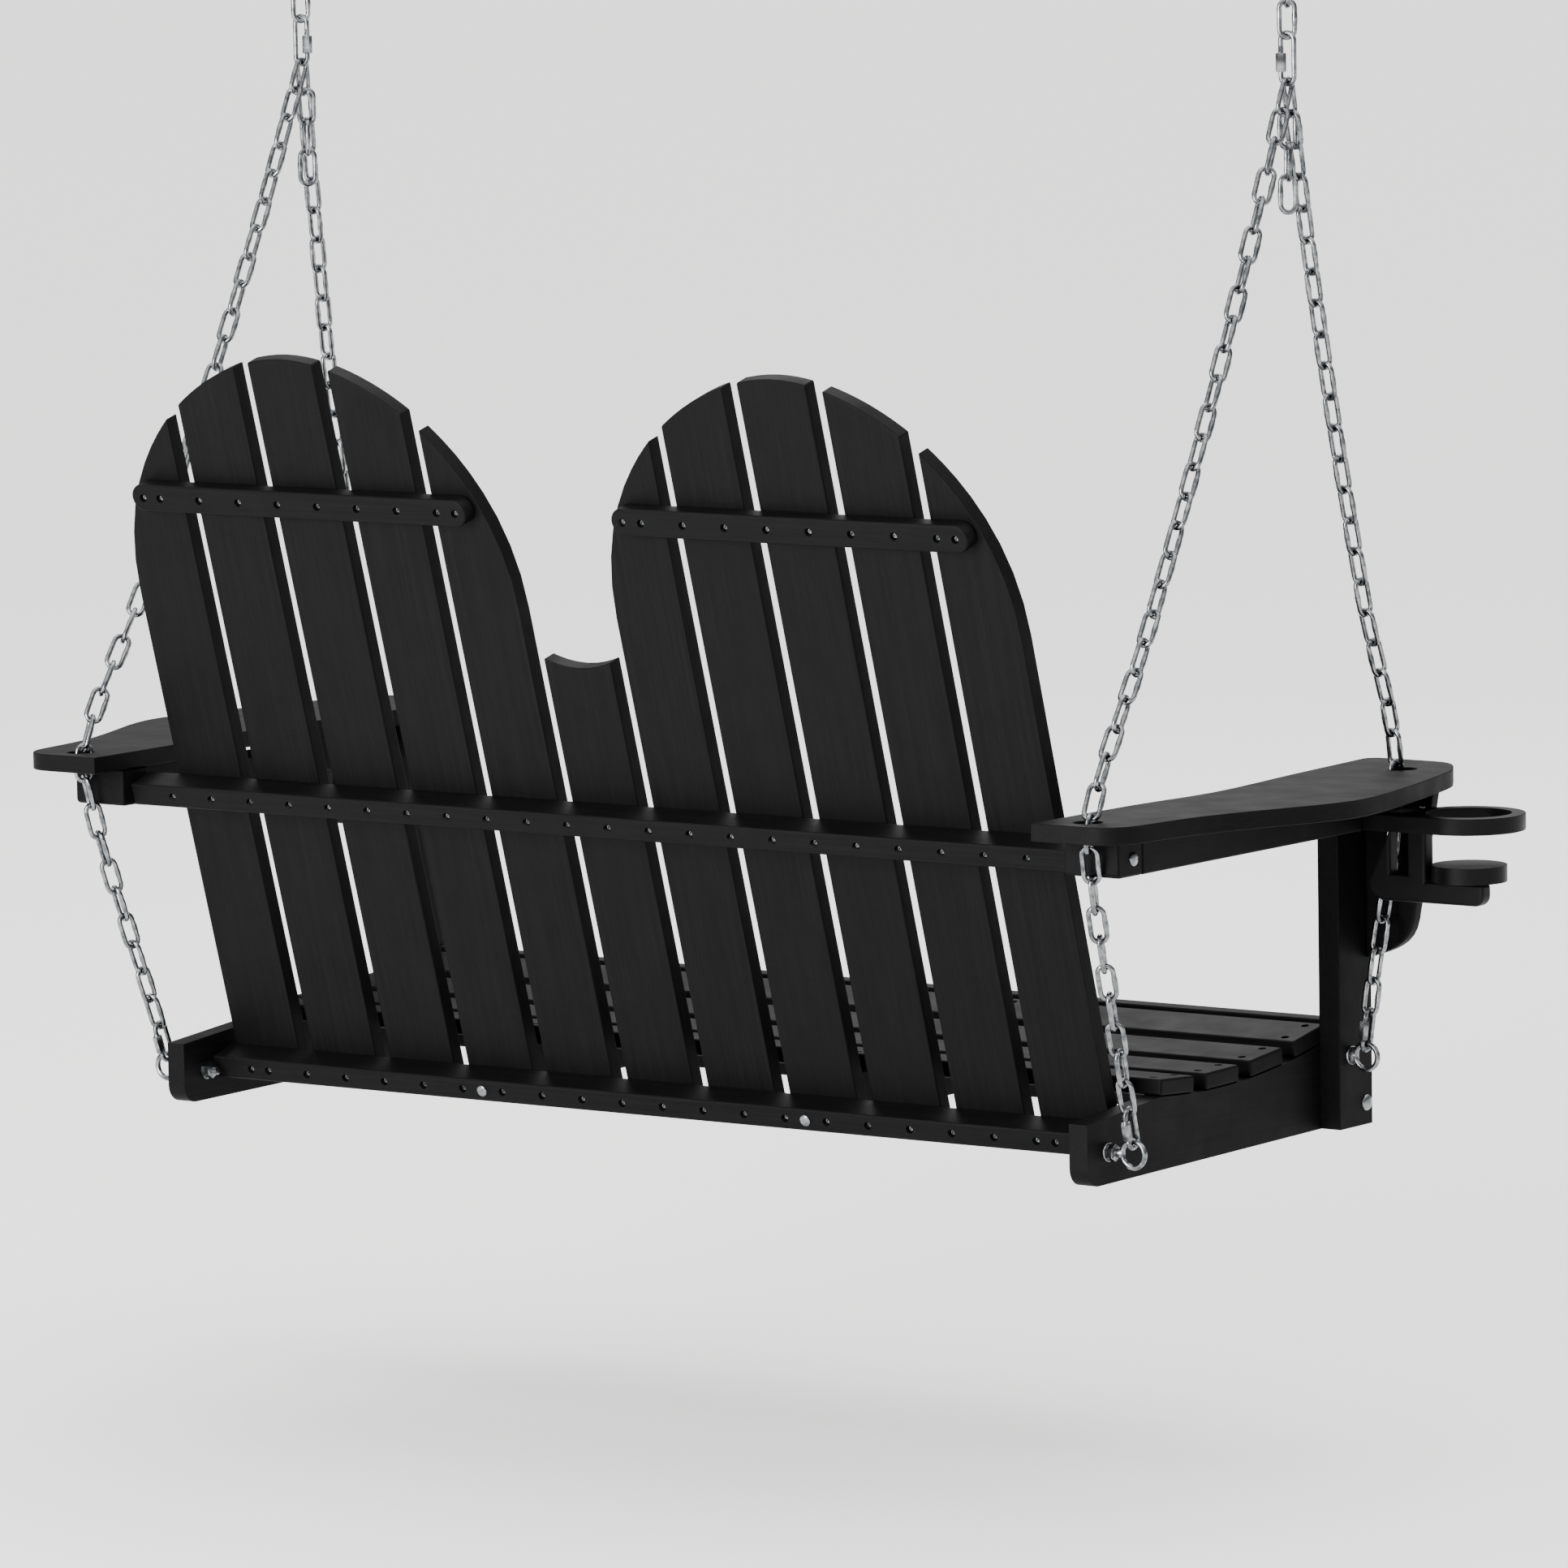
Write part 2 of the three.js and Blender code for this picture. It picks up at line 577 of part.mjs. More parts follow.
/** The drink ring and its tongue, from above, with the slot that the chain leg passes. */
function cupPlateShape() {
  const front = CORBEL_REAR + GAP;
  const corner = CUP_PLATE_CORNER;
  const side = (CUP_CENTRE.y - front) / RIM_RADIUS;
  const shape = new THREE.Shape();
  shape.moveTo(BEAM_INNER, CUP_PLATE_REAR - corner);
  shape.lineTo(BEAM_INNER, front);
  shape.absarc(CUP_CENTRE.x, CUP_CENTRE.y, RIM_RADIUS, Math.PI + Math.asin(side), 2.5 * Math.PI, false);
  shape.absarc(BEAM_INNER + corner, CUP_PLATE_REAR - corner, corner, Math.PI / 2, Math.PI, false);
  shape.holes.push(roundHole(CUP_CENTRE.x, CUP_CENTRE.y, CUP_HOLE_RADIUS));
  const slotY = front + CUP_SLOT_RIM + CUP_SLOT_LONG / 2;
  const slot = stadium(CUP_SLOT_WIDTH, CUP_SLOT_LONG).getPoints(6).reverse();
  const legX = FRONT_HOLE.x - LEG_DRIFT;
  shape.holes.push(new THREE.Path(slot.map((p) => new THREE.Vector2(p.x + legX, p.y + slotY))));
  return shape;
}
const FRONT_RING_X = POST_OUTER + FRONT_EYE_COLLAR + EYE_RADIUS + EYE_WIRE / 2;
const REAR_RING_X = SIDE_OUTER + REAR_EYE_COLLAR + EYE_RADIUS + EYE_WIRE / 2;
const plateLevel = (CUP_PLATE_TOP + CUP_PLATE_BOTTOM) / 2;
// how far the front leg has moved in towards its eye where it passes the cup plate
const LEG_DRIFT = ((FRONT_HOLE.x - FRONT_RING_X) * (ARM_TOP - plateLevel)) / (ARM_TOP - FRONT_EYE_UP);
addPair(bench, "cup_ring", alongZ(cupPlateShape(), CUP_PLATE_BOTTOM, CUP_PLATE_TOP, 14), MOULDED);

/** The hanger under the ring, drawn in (x, z). */
function bracketShape() {
  const x = (reach) => POST_OUTER + reach;
  const top = CUP_PLATE_BOTTOM - GAP;
  const r = BRACKET_CORNER;
  const outerCorner = Math.min(r, (BRACKET_ARM_TOP - BRACKET_BOTTOM) / 2);
  const shape = new THREE.Shape();
  shape.moveTo(x(BRACKET_REACH), top);
  shape.absarc(x(BRACKET_REACH) + r, BRACKET_BOTTOM + r, r, Math.PI, 1.5 * Math.PI, false);
  shape.absarc(
    x(BRACKET_ARM_REACH) - outerCorner, BRACKET_BOTTOM + outerCorner, outerCorner,
    1.5 * Math.PI, 2 * Math.PI, false,
  );
  shape.lineTo(x(BRACKET_ARM_REACH), BRACKET_ARM_TOP);
  shape.lineTo(x(BRACKET_REACH + BRACKET_WIDTH), BRACKET_ARM_TOP);
  shape.lineTo(x(BRACKET_REACH + BRACKET_WIDTH), top);
  shape.lineTo(x(BRACKET_SLOT_REACH + BRACKET_SLOT_WIDTH), top);
  shape.lineTo(x(BRACKET_SLOT_REACH + BRACKET_SLOT_WIDTH), BRACKET_SLOT_BOTTOM);
  shape.lineTo(x(BRACKET_SLOT_REACH), BRACKET_SLOT_BOTTOM);
  shape.lineTo(x(BRACKET_SLOT_REACH), top);
  return shape;
}
addPair(bench, "cup_bracket", alongY(bracketShape(), BRACKET_FRONT, BRACKET_REAR), MOULDED);

const coasterBottom = BRACKET_ARM_TOP + GAP;
const coasterTop = coasterBottom + COASTER_THICK;
const disc = new THREE.CylinderGeometry(COASTER_RADIUS, COASTER_RADIUS, COASTER_THICK, 32)
  .rotateX(Math.PI / 2)
  .translate(CUP_CENTRE.x, CUP_CENTRE.y, (coasterBottom + coasterTop) / 2);
const hangerRoom = box(
  POST_OUTER + BRACKET_REACH,
  POST_OUTER + BRACKET_REACH + BRACKET_WIDTH + GAP,
  BRACKET_FRONT - GAP,
  BRACKET_REAR + GAP,
  coasterBottom - 1,
  coasterTop + 1,
);
addPair(bench, "cup_coaster", cut(disc, hangerRoom), MOULDED);

// ---- Eye bolts --------------------------------------------------------------------------

/** A ring whose hole faces along Y. */
function eyeRing(x, y, z, radius, wire) {
  return new THREE.TorusGeometry(radius, wire / 2, 6, 18).rotateX(Math.PI / 2).translate(x, y, z);
}

/** An eye bolt along X with its nuts and washers on the outer and inner faces. */
function eyeBolt(innerFace, outerFace, ringX, y, z) {
  const inner = innerFace - GAP;
  const outer = outerFace + GAP;
  const collar = Math.min(WASHER_THICK + NUT_THICK, ringX - EYE_RADIUS - outer);
  return join(
    eyeRing(ringX, y, z, EYE_RADIUS, EYE_WIRE),
    rodX(inner - WASHER_THICK - NUT_THICK - THREAD_END, ringX - EYE_RADIUS, y, z, SHANK_RADIUS),
    rodX(inner - WASHER_THICK, inner, y, z, WASHER_RADIUS),
    rodX(inner - WASHER_THICK - NUT_THICK, inner - WASHER_THICK / 2, y, z, NUT_RADIUS, 6),
    rodX(outer, outer + collar, y, z, NUT_RADIUS, 6),
  );
}
const rearBolt = eyeBolt(SIDE_INNER, SIDE_OUTER, REAR_RING_X, REAR_EYE_Y, REAR_EYE_UP);
const frontBolt = eyeBolt(SIDE_INNER, POST_OUTER, FRONT_RING_X, FRONT_EYE_Y, FRONT_EYE_UP);
addPair(bench, "eye_bolt_rear", rearBolt, PLATED);
addPair(bench, "eye_bolt_front", frontBolt, PLATED);

// ---- Chains and links -------------------------------------------------------------------

/** A quick link around the origin, its long side along Z, lying in the plane x = 0. */
function linkRing(long) {
  const ring = stadium(LINK_WIDE, long);
  const opening = stadium(LINK_WIDE - 2 * WIRE, long - 2 * WIRE);
  ring.holes.push(new THREE.Path(opening.getPoints(6).reverse()));
  return alongX(ring, -WIRE / 2, WIRE / 2);
}

/** The hexagonal sleeve of a quick link, solid or with a square bore. */
function sleeve(bore) {
  const side = (LINK_WIDE - WIRE) / 2;
  const corner = (index) => [
    SLEEVE_RADIUS * Math.cos((index * Math.PI) / 3),
    SLEEVE_RADIUS * Math.sin((index * Math.PI) / 3),
  ];
  const shape = new THREE.Shape(points([0, 1, 2, 3, 4, 5].map(corner)));
  if (bore > 0) {
    const b = bore / 2;
    shape.holes.push(new THREE.Path(points([[-b, -b], [-b, b], [b, b], [b, -b]])));
  }
  return alongZ(shape, -SLEEVE_LONG / 2, SLEEVE_LONG / 2).translate(0, side, 0);
}

/** Points of a chain that hangs a little slack between two places, without its ends. */
function slack(from, to, sag) {
  const along = to.clone().sub(from).normalize();
  const down = new THREE.Vector3(0, 0, -1);
  const across = down.addScaledVector(along, -down.dot(along)).normalize();
  return [0.25, 0.5, 0.75].map((share) =>
    from.clone().lerp(to, share).addScaledVector(across, 4 * sag * share * (1 - share)),
  );
}

/** A run of chain as one plain round bar along its route. */
function chainRun(route) {
  const section = new THREE.Shape(new THREE.Path().absarc(0, 0, CHAIN_RADIUS, 0, 2 * Math.PI).getPoints(4));
  const extrudePath = new THREE.CatmullRomCurve3(route, false, "centripetal");
  const steps = Math.ceil(extrudePath.getLength() / CHAIN_STEP_LONG);
  return new THREE.ExtrudeGeometry(section, { steps, extrudePath });
}

const rearRing = new THREE.Vector3(REAR_RING_X, REAR_EYE_Y, REAR_EYE_UP);
const frontRing = new THREE.Vector3(FRONT_RING_X, FRONT_EYE_Y, FRONT_EYE_UP);
const atRim = (hole, lean) => new THREE.Vector3(hole.x + lean.x, hole.y + lean.y, ARM_TOP);
const rearPass = atRim(REAR_HOLE, REAR_LEAN);
const frontPass = atRim(FRONT_HOLE, FRONT_LEAN);
// the rear leg is bent a little round the lower edge of the rear block
const blockPass = new THREE.Vector3(REAR_HOLE.x - 4, BLOCK_REAR + CHAIN_RADIUS + 1.5, BEAM_BOTTOM + 2);

for (const [name, ring, bends, sag] of [
  ["rear", rearRing, [rearPass, blockPass], REAR_LEG_SAG],
  ["front", frontRing, [frontPass], FRONT_LEG_SAG],
]) {
  const lastBend = bends[bends.length - 1];
  const ringTop = ring.clone().setZ(ring.z + EYE_RADIUS);
  const hooked = EYE_LINK_LONG / 2 - WIRE - EYE_WIRE / 2 - LINK_PLAY;
  const middle = towards(ringTop, lastBend, hooked);
  const ringed = join(linkRing(EYE_LINK_LONG), sleeve(0));
  const link = aim(ringed, new THREE.Vector3(0, 0, 1), middle, lastBend);
  addPair(bench, "quick_link_" + name, link, PLATED);
  const slackPoints = slack(APEX, bends[0], sag);
  const start = towards(APEX, slackPoints[0], LEG_START);
  const end = towards(middle, lastBend, EYE_LINK_LONG / 2 + GAP);
  addPair(bench, "chain_leg_" + name, chainRun([start, ...slackPoints, ...bends, end]), PLATED);
}

// The link that both legs of a side hang in, its closing sleeve and the single chain above.
const apexMiddle = APEX.clone().setZ(APEX.z + APEX_LINK_LONG / 2 - WIRE / 2);
const atApex = (geometry) =>
  geometry.rotateZ(Math.PI / 2).translate(apexMiddle.x, apexMiddle.y, apexMiddle.z);
addPair(bench, "apex_link", atApex(linkRing(APEX_LINK_LONG)), PLATED);
const apexSleeve = sleeve(WIRE + 2 * SLEEVE_CLEARANCE).translate(0, 0, -SLEEVE_TRAVEL / 2);
addPair(bench, "apex_sleeve", atApex(apexSleeve), PLATED);
const chainFoot = apexMiddle.clone().setZ(apexMiddle.z + APEX_LINK_LONG / 2 + GAP);
const chainHead = APEX.clone().setZ(PIVOT_UP - HOOK_WIRE / 2 - GAP);
addPair(bench, "upper_chain", rod(chainFoot, chainHead, CHAIN_RADIUS), PLATED);

const hookUp = PIVOT_UP + HOOK_RADIUS;
const hook = join(
  eyeRing(APEX.x, APEX.y, hookUp, HOOK_RADIUS, HOOK_WIRE),
  rod(APEX.clone().setZ(hookUp + HOOK_RADIUS), APEX.clone().setZ(CEILING_UP - 1), HOOK_WIRE / 2),
  box(
    APEX.x - PLATE_SIDE / 2,
    APEX.x + PLATE_SIDE / 2,
    APEX.y - PLATE_SIDE / 2,
    APEX.y + PLATE_SIDE / 2,
    CEILING_UP - PLATE_THICK,
    CEILING_UP,
  ),
);
addPair(bench, "ceiling_hook", hook, PLATED);

export default root;
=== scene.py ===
"""Porch swing in near-black poly lumber, hung on plated chain.

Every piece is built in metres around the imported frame. Sizes are given in millimetres and turned to
metres by MM. Bench coordinates start at the middle of the mid rail's rear face, with +Z up, and the
sitter faces -Y. The left side is the sitter's left, at +X.
"""
import logging
import math
from collections.abc import Callable, Iterable, Sequence
from dataclasses import dataclass, field
from enum import Enum

import bmesh
import bpy
from mathutils import Matrix, Vector

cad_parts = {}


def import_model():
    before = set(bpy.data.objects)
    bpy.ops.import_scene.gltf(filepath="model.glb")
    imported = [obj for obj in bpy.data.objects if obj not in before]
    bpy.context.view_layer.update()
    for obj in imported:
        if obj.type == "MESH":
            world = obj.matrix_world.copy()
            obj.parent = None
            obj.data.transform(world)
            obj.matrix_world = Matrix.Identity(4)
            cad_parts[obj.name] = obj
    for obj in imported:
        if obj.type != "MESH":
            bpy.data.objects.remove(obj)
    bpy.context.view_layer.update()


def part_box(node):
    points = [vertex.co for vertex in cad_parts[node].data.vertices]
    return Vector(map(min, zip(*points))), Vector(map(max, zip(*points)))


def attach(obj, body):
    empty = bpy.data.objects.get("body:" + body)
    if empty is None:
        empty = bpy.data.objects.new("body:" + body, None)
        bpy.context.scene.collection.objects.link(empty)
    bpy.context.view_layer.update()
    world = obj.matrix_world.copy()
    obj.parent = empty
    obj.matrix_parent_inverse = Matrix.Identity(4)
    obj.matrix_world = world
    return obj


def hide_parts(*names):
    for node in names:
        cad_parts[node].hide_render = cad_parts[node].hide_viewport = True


MM = 0.001
BENCH_ORIGIN = Vector((0.0, 372.0, -945.0))
RECLINE = math.radians(16.0)
RAIL_DEPTH = 38.0
STRINGER_REACH = 218.0  # from the bench's middle to a stringer's
LOG = logging.getLogger("porch_swing")


class Side(Enum):
    """The sitter's two sides, by the sign of X."""

    LEFT = 1
    RIGHT = -1

    @property
    def tag(self) -> str:
        """The end of a node's name on this side."""
        return self.name.lower()


class Body(Enum):
    """The rigid bodies of the mechanism that pieces ride on."""

    SEAT = "seat"
    HANGERS = "hangers"
    HOOKS = "hooks"
    SLEEVE_LEFT = "sleeve_left"
    SLEEVE_RIGHT = "sleeve_right"


class Slot(Enum):
    """Names for the swing's kinds of material."""

    LUMBER = "poly_lumber"
    PLASTIC = "moulded_plastic"
    STEEL = "plated_steel"


class Grain(Enum):
    """Which way a board was extruded, as the axis that its streaks follow."""

    ACROSS = "x"
    DEEP = "y"
    UPRIGHT = "z"


# ---- Places and colours -------------------------------------------------------------------


def place(x: float, y: float, z: float) -> Vector:
    """Turns bench millimetres into metres in the part's frame.

    Args:
        x: Towards the sitter's left.
        y: Towards the rear.
        z: Up from the middle of the mid rail.

    Returns:
        The point in metres.
    """
    return (Vector((x, y, z)) + BENCH_ORIGIN) * MM


def panel() -> Matrix:
    """Gives the reclined back panel's frame.

    Returns:
        A matrix whose Z runs up along the slats and whose Y points out of their rear faces.
    """
    rear_face = place(0.0, -RAIL_DEPTH / math.cos(RECLINE), 0.0)
    return Matrix.Translation(rear_face) @ Matrix.Rotation(-RECLINE, 4, "X")


def mirrored(point: Vector, side: Side) -> Vector:
    """Puts a point that is given for the left side on either side.

    Args:
        point: The point at +X.
        side: The side it is wanted on.

    Returns:
        The point, mirrored for the right side.
    """
    return Vector((point.x * side.value, point.y, point.z))


def facing(centre: Vector, outward: Vector) -> Matrix:
    """Makes a frame whose Z points outward.

    Args:
        centre: The frame's origin.
        outward: The direction of its Z axis.

    Returns:
        The frame as a matrix.
    """
    turn = Vector((0.0, 0.0, 1.0)).rotation_difference(outward.normalized())
    return Matrix.Translation(centre) @ turn.to_matrix().to_4x4()


def around(steps: int) -> list[Vector]:
    """Lists directions evenly round Z.

    Args:
        steps: How many there are.

    Returns:
        Unit vectors, the first along +X.
    """
    turns = [2.0 * math.pi * step / steps for step in range(steps)]
    return [Vector((math.cos(turn), math.sin(turn), 0.0)) for turn in turns]


def linear(code: str) -> tuple[float, float, float, float]:
    """Turns an sRGB hex colour into the linear colour that shaders take.

    Args:
        code: Such as "#1d1e20".

    Returns:
        Red, green, blue and full alpha, linear.
    """
    values = (int(code[i : i + 2], 16) / 255.0 for i in (1, 3, 5))
    red, green, blue = (v / 12.92 if v <= 0.04045 else ((v + 0.055) / 1.055) ** 2.4 for v in values)
    return red, green, blue, 1.0


# ---- Finishes -----------------------------------------------------------------------------


def put(
    tree: bpy.types.NodeTree,
    kind: str,
    sockets: dict | None = None,
    **settings: object,
) -> bpy.types.Node:
    """Adds one shader node with its settings, values and links.

    Args:
        tree: The node tree it joins.
        kind: The node's type.
        sockets: Input names or numbers, each with a value or with the output that feeds it.
        settings: The node's own properties.

    Returns:
        The new node.
    """
    made = tree.nodes.new(kind)
    for name, value in settings.items():
        setattr(made, name, value)
    for name, value in (sockets or {}).items():
        if isinstance(value, bpy.types.NodeSocket):
            tree.links.new(value, made.inputs[name])
        else:
            made.inputs[name].default_value = value
    return made


def blank(name: str) -> tuple[bpy.types.Material, bpy.types.NodeTree]:
    """Starts a material with an empty node tree.

    Args:
        name: The material's name.

    Returns:
        The material and its tree.
    """
    material = bpy.data.materials.new(name)
    material.use_nodes = True
    material.node_tree.nodes.clear()
    return material, material.node_tree


@dataclass(frozen=True)
class PolyLumber:
    """High-density polyethylene board, extruded and lightly brushed.

    The through-coloured plastic gives a satin near-black with fine streaks along the board and a
    broad soft sheen where it turns to the light.
    """

    grain: Grain
    colour: str = "#070708"
    fleck: str = "#0d0d0e"
    streak_wide_mm: float = 2.6  # a real streak is under 1 mm, drawn coarser so that it shows
    streak_long_mm: float = 150.0
    mottle_mm: float = 38.0
    pore_mm: float = 1.8
    roughness: tuple[float, float] = (0.5, 0.6)
    specular: float = 0.06  # the brushed surface returns less than smooth plastic
    relief_mm: float = 0.16

    def stretch(self) -> Vector:
        """Gives the pattern's scale in repeats per metre on X, Y and Z."""
        long_way = 1.0 / (self.streak_long_mm * MM)
        cross_way = 1.0 / (self.streak_wide_mm * MM)
        axes = [grain.value for grain in Grain]
        return Vector([long_way if axis == self.grain.value else cross_way for axis in axes])

    def material(self) -> bpy.types.Material:
        """Builds the material.

        Returns:
            The board's material, with streaks, mottling and pores.
        """
        made, tree = blank("poly_lumber_extruded_brushed_" + self.grain.name.lower())
        spot = put(tree, "ShaderNodeTexCoord").outputs["Object"]
        level = put(tree, "ShaderNodeMapping", {"Vector": spot, "Rotation": (self.lean(), 0.0, 0.0)})
        own = put(tree, "ShaderNodeObjectInfo").outputs["Random"]
        moved = put(tree, "ShaderNodeVectorMath", {0: level.outputs["Vector"], 1: own}, operation="ADD")
        drawn = put(tree, "ShaderNodeMapping", {"Vector": moved.outputs[0], "Scale": self.stretch()})
        streak = put(
            tree,
            "ShaderNodeTexNoise",
            {"Vector": drawn.outputs["Vector"], "Scale": 1.0, "Detail": 5.0, "Roughness": 0.62},
        )
        mottle = put(
            tree,
            "ShaderNodeTexNoise",
            {"Vector": moved.outputs[0], "Scale": 1.0 / (self.mottle_mm * MM), "Detail": 4.0},
        )
        pore = put(
            tree,
            "ShaderNodeTexNoise",
            {"Vector": moved.outputs[0], "Scale": 1.0 / (self.pore_mm * MM), "Detail": 2.0},
        )
        share = put(
            tree,
            "ShaderNodeMapRange",
            {"Value": streak.outputs["Fac"], "From Min": 0.42, "From Max": 0.74},
        )
        tint = self.tint(tree, share.outputs["Result"])
        shine = put(
            tree,
            "ShaderNodeMapRange",
            {
                "Value": mottle.outputs["Fac"],
                "From Min": 0.3,
                "From Max": 0.7,
                "To Min": self.roughness[0],
                "To Max": self.roughness[1],
            },
        )
        height = put(
            tree,
            "ShaderNodeMath",
            {0: streak.outputs["Fac"], 1: pore.outputs["Fac"]},
            operation="ADD",
        )
        relief = put(
            tree,
            "ShaderNodeBump",
            {"Height": height.outputs[0], "Strength": 0.28, "Distance": self.relief_mm * MM},
        )
        surface = put(
            tree,
            "ShaderNodeBsdfPrincipled",
            {
                "Base Color": tint,
                "Roughness": shine.outputs["Result"],
                "IOR": 1.5,
                "Specular IOR Level": self.specular,
                "Normal": relief.outputs["Normal"],
            },
        )
        put(tree, "ShaderNodeOutputMaterial", {"Surface": surface.outputs["BSDF"]})
        return made

    def lean(self) -> float:
        """Gives the turn that levels the pattern, which is the back panel's for upright boards."""
        return RECLINE if self.grain is Grain.UPRIGHT else 0.0

    def tint(self, tree: bpy.types.NodeTree, share: bpy.types.NodeSocket) -> bpy.types.NodeSocket:
        """Mixes the board's two tones.

        Args:
            tree: The material's node tree.
            share: How much of the lighter tone shows.

        Returns:
            The colour output.
        """
        ramp = put(tree, "ShaderNodeValToRGB", {"Fac": share})
        ramp.color_ramp.elements[0].color = linear(self.colour)
        ramp.color_ramp.elements[1].color = linear(self.fleck)
        return ramp.outputs["Color"]


@dataclass(frozen=True)
class MachinedPlastic:
    """Polyethylene sheet, cut and routed to a round edge.

    The cut faces are plainer and a little shinier than the extruded boards.
    """

    colour: str = "#070708"
    sheen: str = "#0c0c0d"
    mottle_mm: float = 24.0
    pore_mm: float = 2.2
    roughness: tuple[float, float] = (0.36, 0.48)
    specular: float = 0.09
    relief_mm: float = 0.1

    def material(self) -> bpy.types.Material:
        """Builds the material.

        Returns:
            The routed plastic's material.
        """
        made, tree = blank("polyethylene_sheet_routed")
        spot = put(tree, "ShaderNodeTexCoord").outputs["Object"]
        mottle = put(
            tree,
            "ShaderNodeTexNoise",
            {"Vector": spot, "Scale": 1.0 / (self.mottle_mm * MM), "Detail": 5.0, "Roughness": 0.6},
        )
        pore = put(
            tree,
            "ShaderNodeTexNoise",
            {"Vector": spot, "Scale": 1.0 / (self.pore_mm * MM), "Detail": 3.0},
        )
        ramp = put(tree, "ShaderNodeValToRGB", {"Fac": mottle.outputs["Fac"]})
        ramp.color_ramp.elements[0].color = linear(self.colour)
        ramp.color_ramp.elements[1].color = linear(self.sheen)
        shine = put(
            tree,
            "ShaderNodeMapRange",
            {
                "Value": mottle.outputs["Fac"],
                "From Min": 0.3,
                "From Max": 0.7,
                "To Min": self.roughness[0],
                "To Max": self.roughness[1],
            },
        )
        relief = put(
            tree,
            "ShaderNodeBump",
            {"Height": pore.outputs["Fac"], "Strength": 0.3, "Distance": self.relief_mm * MM},
        )
        surface = put(
            tree,
            "ShaderNodeBsdfPrincipled",
            {
                "Base Color": ramp.outputs["Color"],
                "Roughness": shine.outputs["Result"],
                "IOR": 1.5,
                "Specular IOR Level": self.specular,
                "Normal": relief.outputs["Normal"],
            },
        )
        put(tree, "ShaderNodeOutputMaterial", {"Surface": surface.outputs["BSDF"]})
        return made


@dataclass(frozen=True)
class PlatedSteel:
    """Drawn or forged steel, electroplated with bright zinc.

    The plating mirrors softly and carries faint cloudy patches and fine draw marks.
    """

    name: str
    colour: str = "#8b8d8f"
    cloud: str = "#515457"
    cloud_mm: float = 9.0
    mark_mm: float = 1.6
    roughness: tuple[float, float] = (0.14, 0.28)
    relief_mm: float = 0.05

    def material(self) -> bpy.types.Material:
        """Builds the material.

        Returns:
            The plated steel's material.
        """
        made, tree = blank(self.name)
        spot = put(tree, "ShaderNodeTexCoord").outputs["Object"]
        cloud = put(
            tree,
            "ShaderNodeTexNoise",
            {"Vector": spot, "Scale": 1.0 / (self.cloud_mm * MM), "Detail": 4.0, "Roughness": 0.6},
        )
        mark = put(
            tree,
            "ShaderNodeTexNoise",
            {"Vector": spot, "Scale": 1.0 / (self.mark_mm * MM), "Detail": 2.0},
        )
        ramp = put(tree, "ShaderNodeValToRGB", {"Fac": cloud.outputs["Fac"]})
        ramp.color_ramp.elements[0].position = 0.36
        ramp.color_ramp.elements[0].color = linear(self.cloud)
        ramp.color_ramp.elements[1].position = 0.62
        ramp.color_ramp.elements[1].color = linear(self.colour)
        shine = put(
            tree,
            "ShaderNodeMapRange",
            {
                "Value": cloud.outputs["Fac"],
                "From Min": 0.3,
                "From Max": 0.7,
                "To Min": self.roughness[1],
                "To Max": self.roughness[0],
            },
        )
        relief = put(
            tree,
            "ShaderNodeBump",
            {"Height": mark.outputs["Fac"], "Strength": 0.25, "Distance": self.relief_mm * MM},
        )
        surface = put(
            tree,
            "ShaderNodeBsdfPrincipled",
            {
                "Base Color": ramp.outputs["Color"],
                "Metallic": 1.0,
                "Roughness": shine.outputs["Result"],
                "Normal": relief.outputs["Normal"],
            },
        )
        put(tree, "ShaderNodeOutputMaterial", {"Surface": surface.outputs["BSDF"]})
        return made


@dataclass
class Finishes:
    """Every material of the swing, built once."""

    lumber: dict[Grain, bpy.types.Material] = field(init=False)
    plastic: bpy.types.Material = field(init=False)
    chain: bpy.types.Material = field(init=False)
    forged: bpy.types.Material = field(init=False)
    screw: bpy.types.Material = field(init=False)

    def __post_init__(self) -> None:
        """Builds the materials."""
        self.lumber = {grain: PolyLumber(grain).material() for grain in Grain}
        self.plastic = MachinedPlastic().material()
        self.chain = PlatedSteel("steel_chain_bright_zinc_plated").material()
        self.forged = PlatedSteel("steel_forged_zinc_plated", roughness=(0.18, 0.32)).material()
        screw = PlatedSteel(
            "stainless_screw_cold_headed",
            colour="#8d8f91",
            cloud="#606366",
            roughness=(0.18, 0.3),
        )
        self.screw = screw.material()


# ---- Mesh making --------------------------------------------------------------------------


def as_piece(
    name: str,
    mesh: bpy.types.Mesh,
    material: bpy.types.Material,
    body: Body,
) -> bpy.types.Object:
    """Makes a finished mesh into a piece that rides on a body.

    Args:
        name: The piece's name.
        mesh: Its mesh, in the part's frame.
        material: Its finish.
        body: The body it moves with.

    Returns:
        The new object.
    """
    soft_angle = math.radians(38.0)
    mesh.name = name
    mesh.materials.clear()
    mesh.materials.append(material)
    mesh.shade_smooth()
    mesh.set_sharp_from_angle(angle=soft_angle)
    made = bpy.data.objects.new(name, mesh)
    bpy.context.scene.collection.objects.link(made)
    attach(made, body.value)
    LOG.info("built %s: %d faces on %s", name, len(mesh.polygons), body.value)
    return made


def applied(source: bpy.types.Object) -> bpy.types.Mesh:
    """Applies an object's modifiers.

    Args:
        source: The object, which is left without its modifiers' result.

    Returns:
        A new mesh with the modifiers applied.
    """
    bpy.context.view_layer.update()
    graph = bpy.context.evaluated_depsgraph_get()
    return bpy.data.meshes.new_from_object(source.evaluated_get(graph))


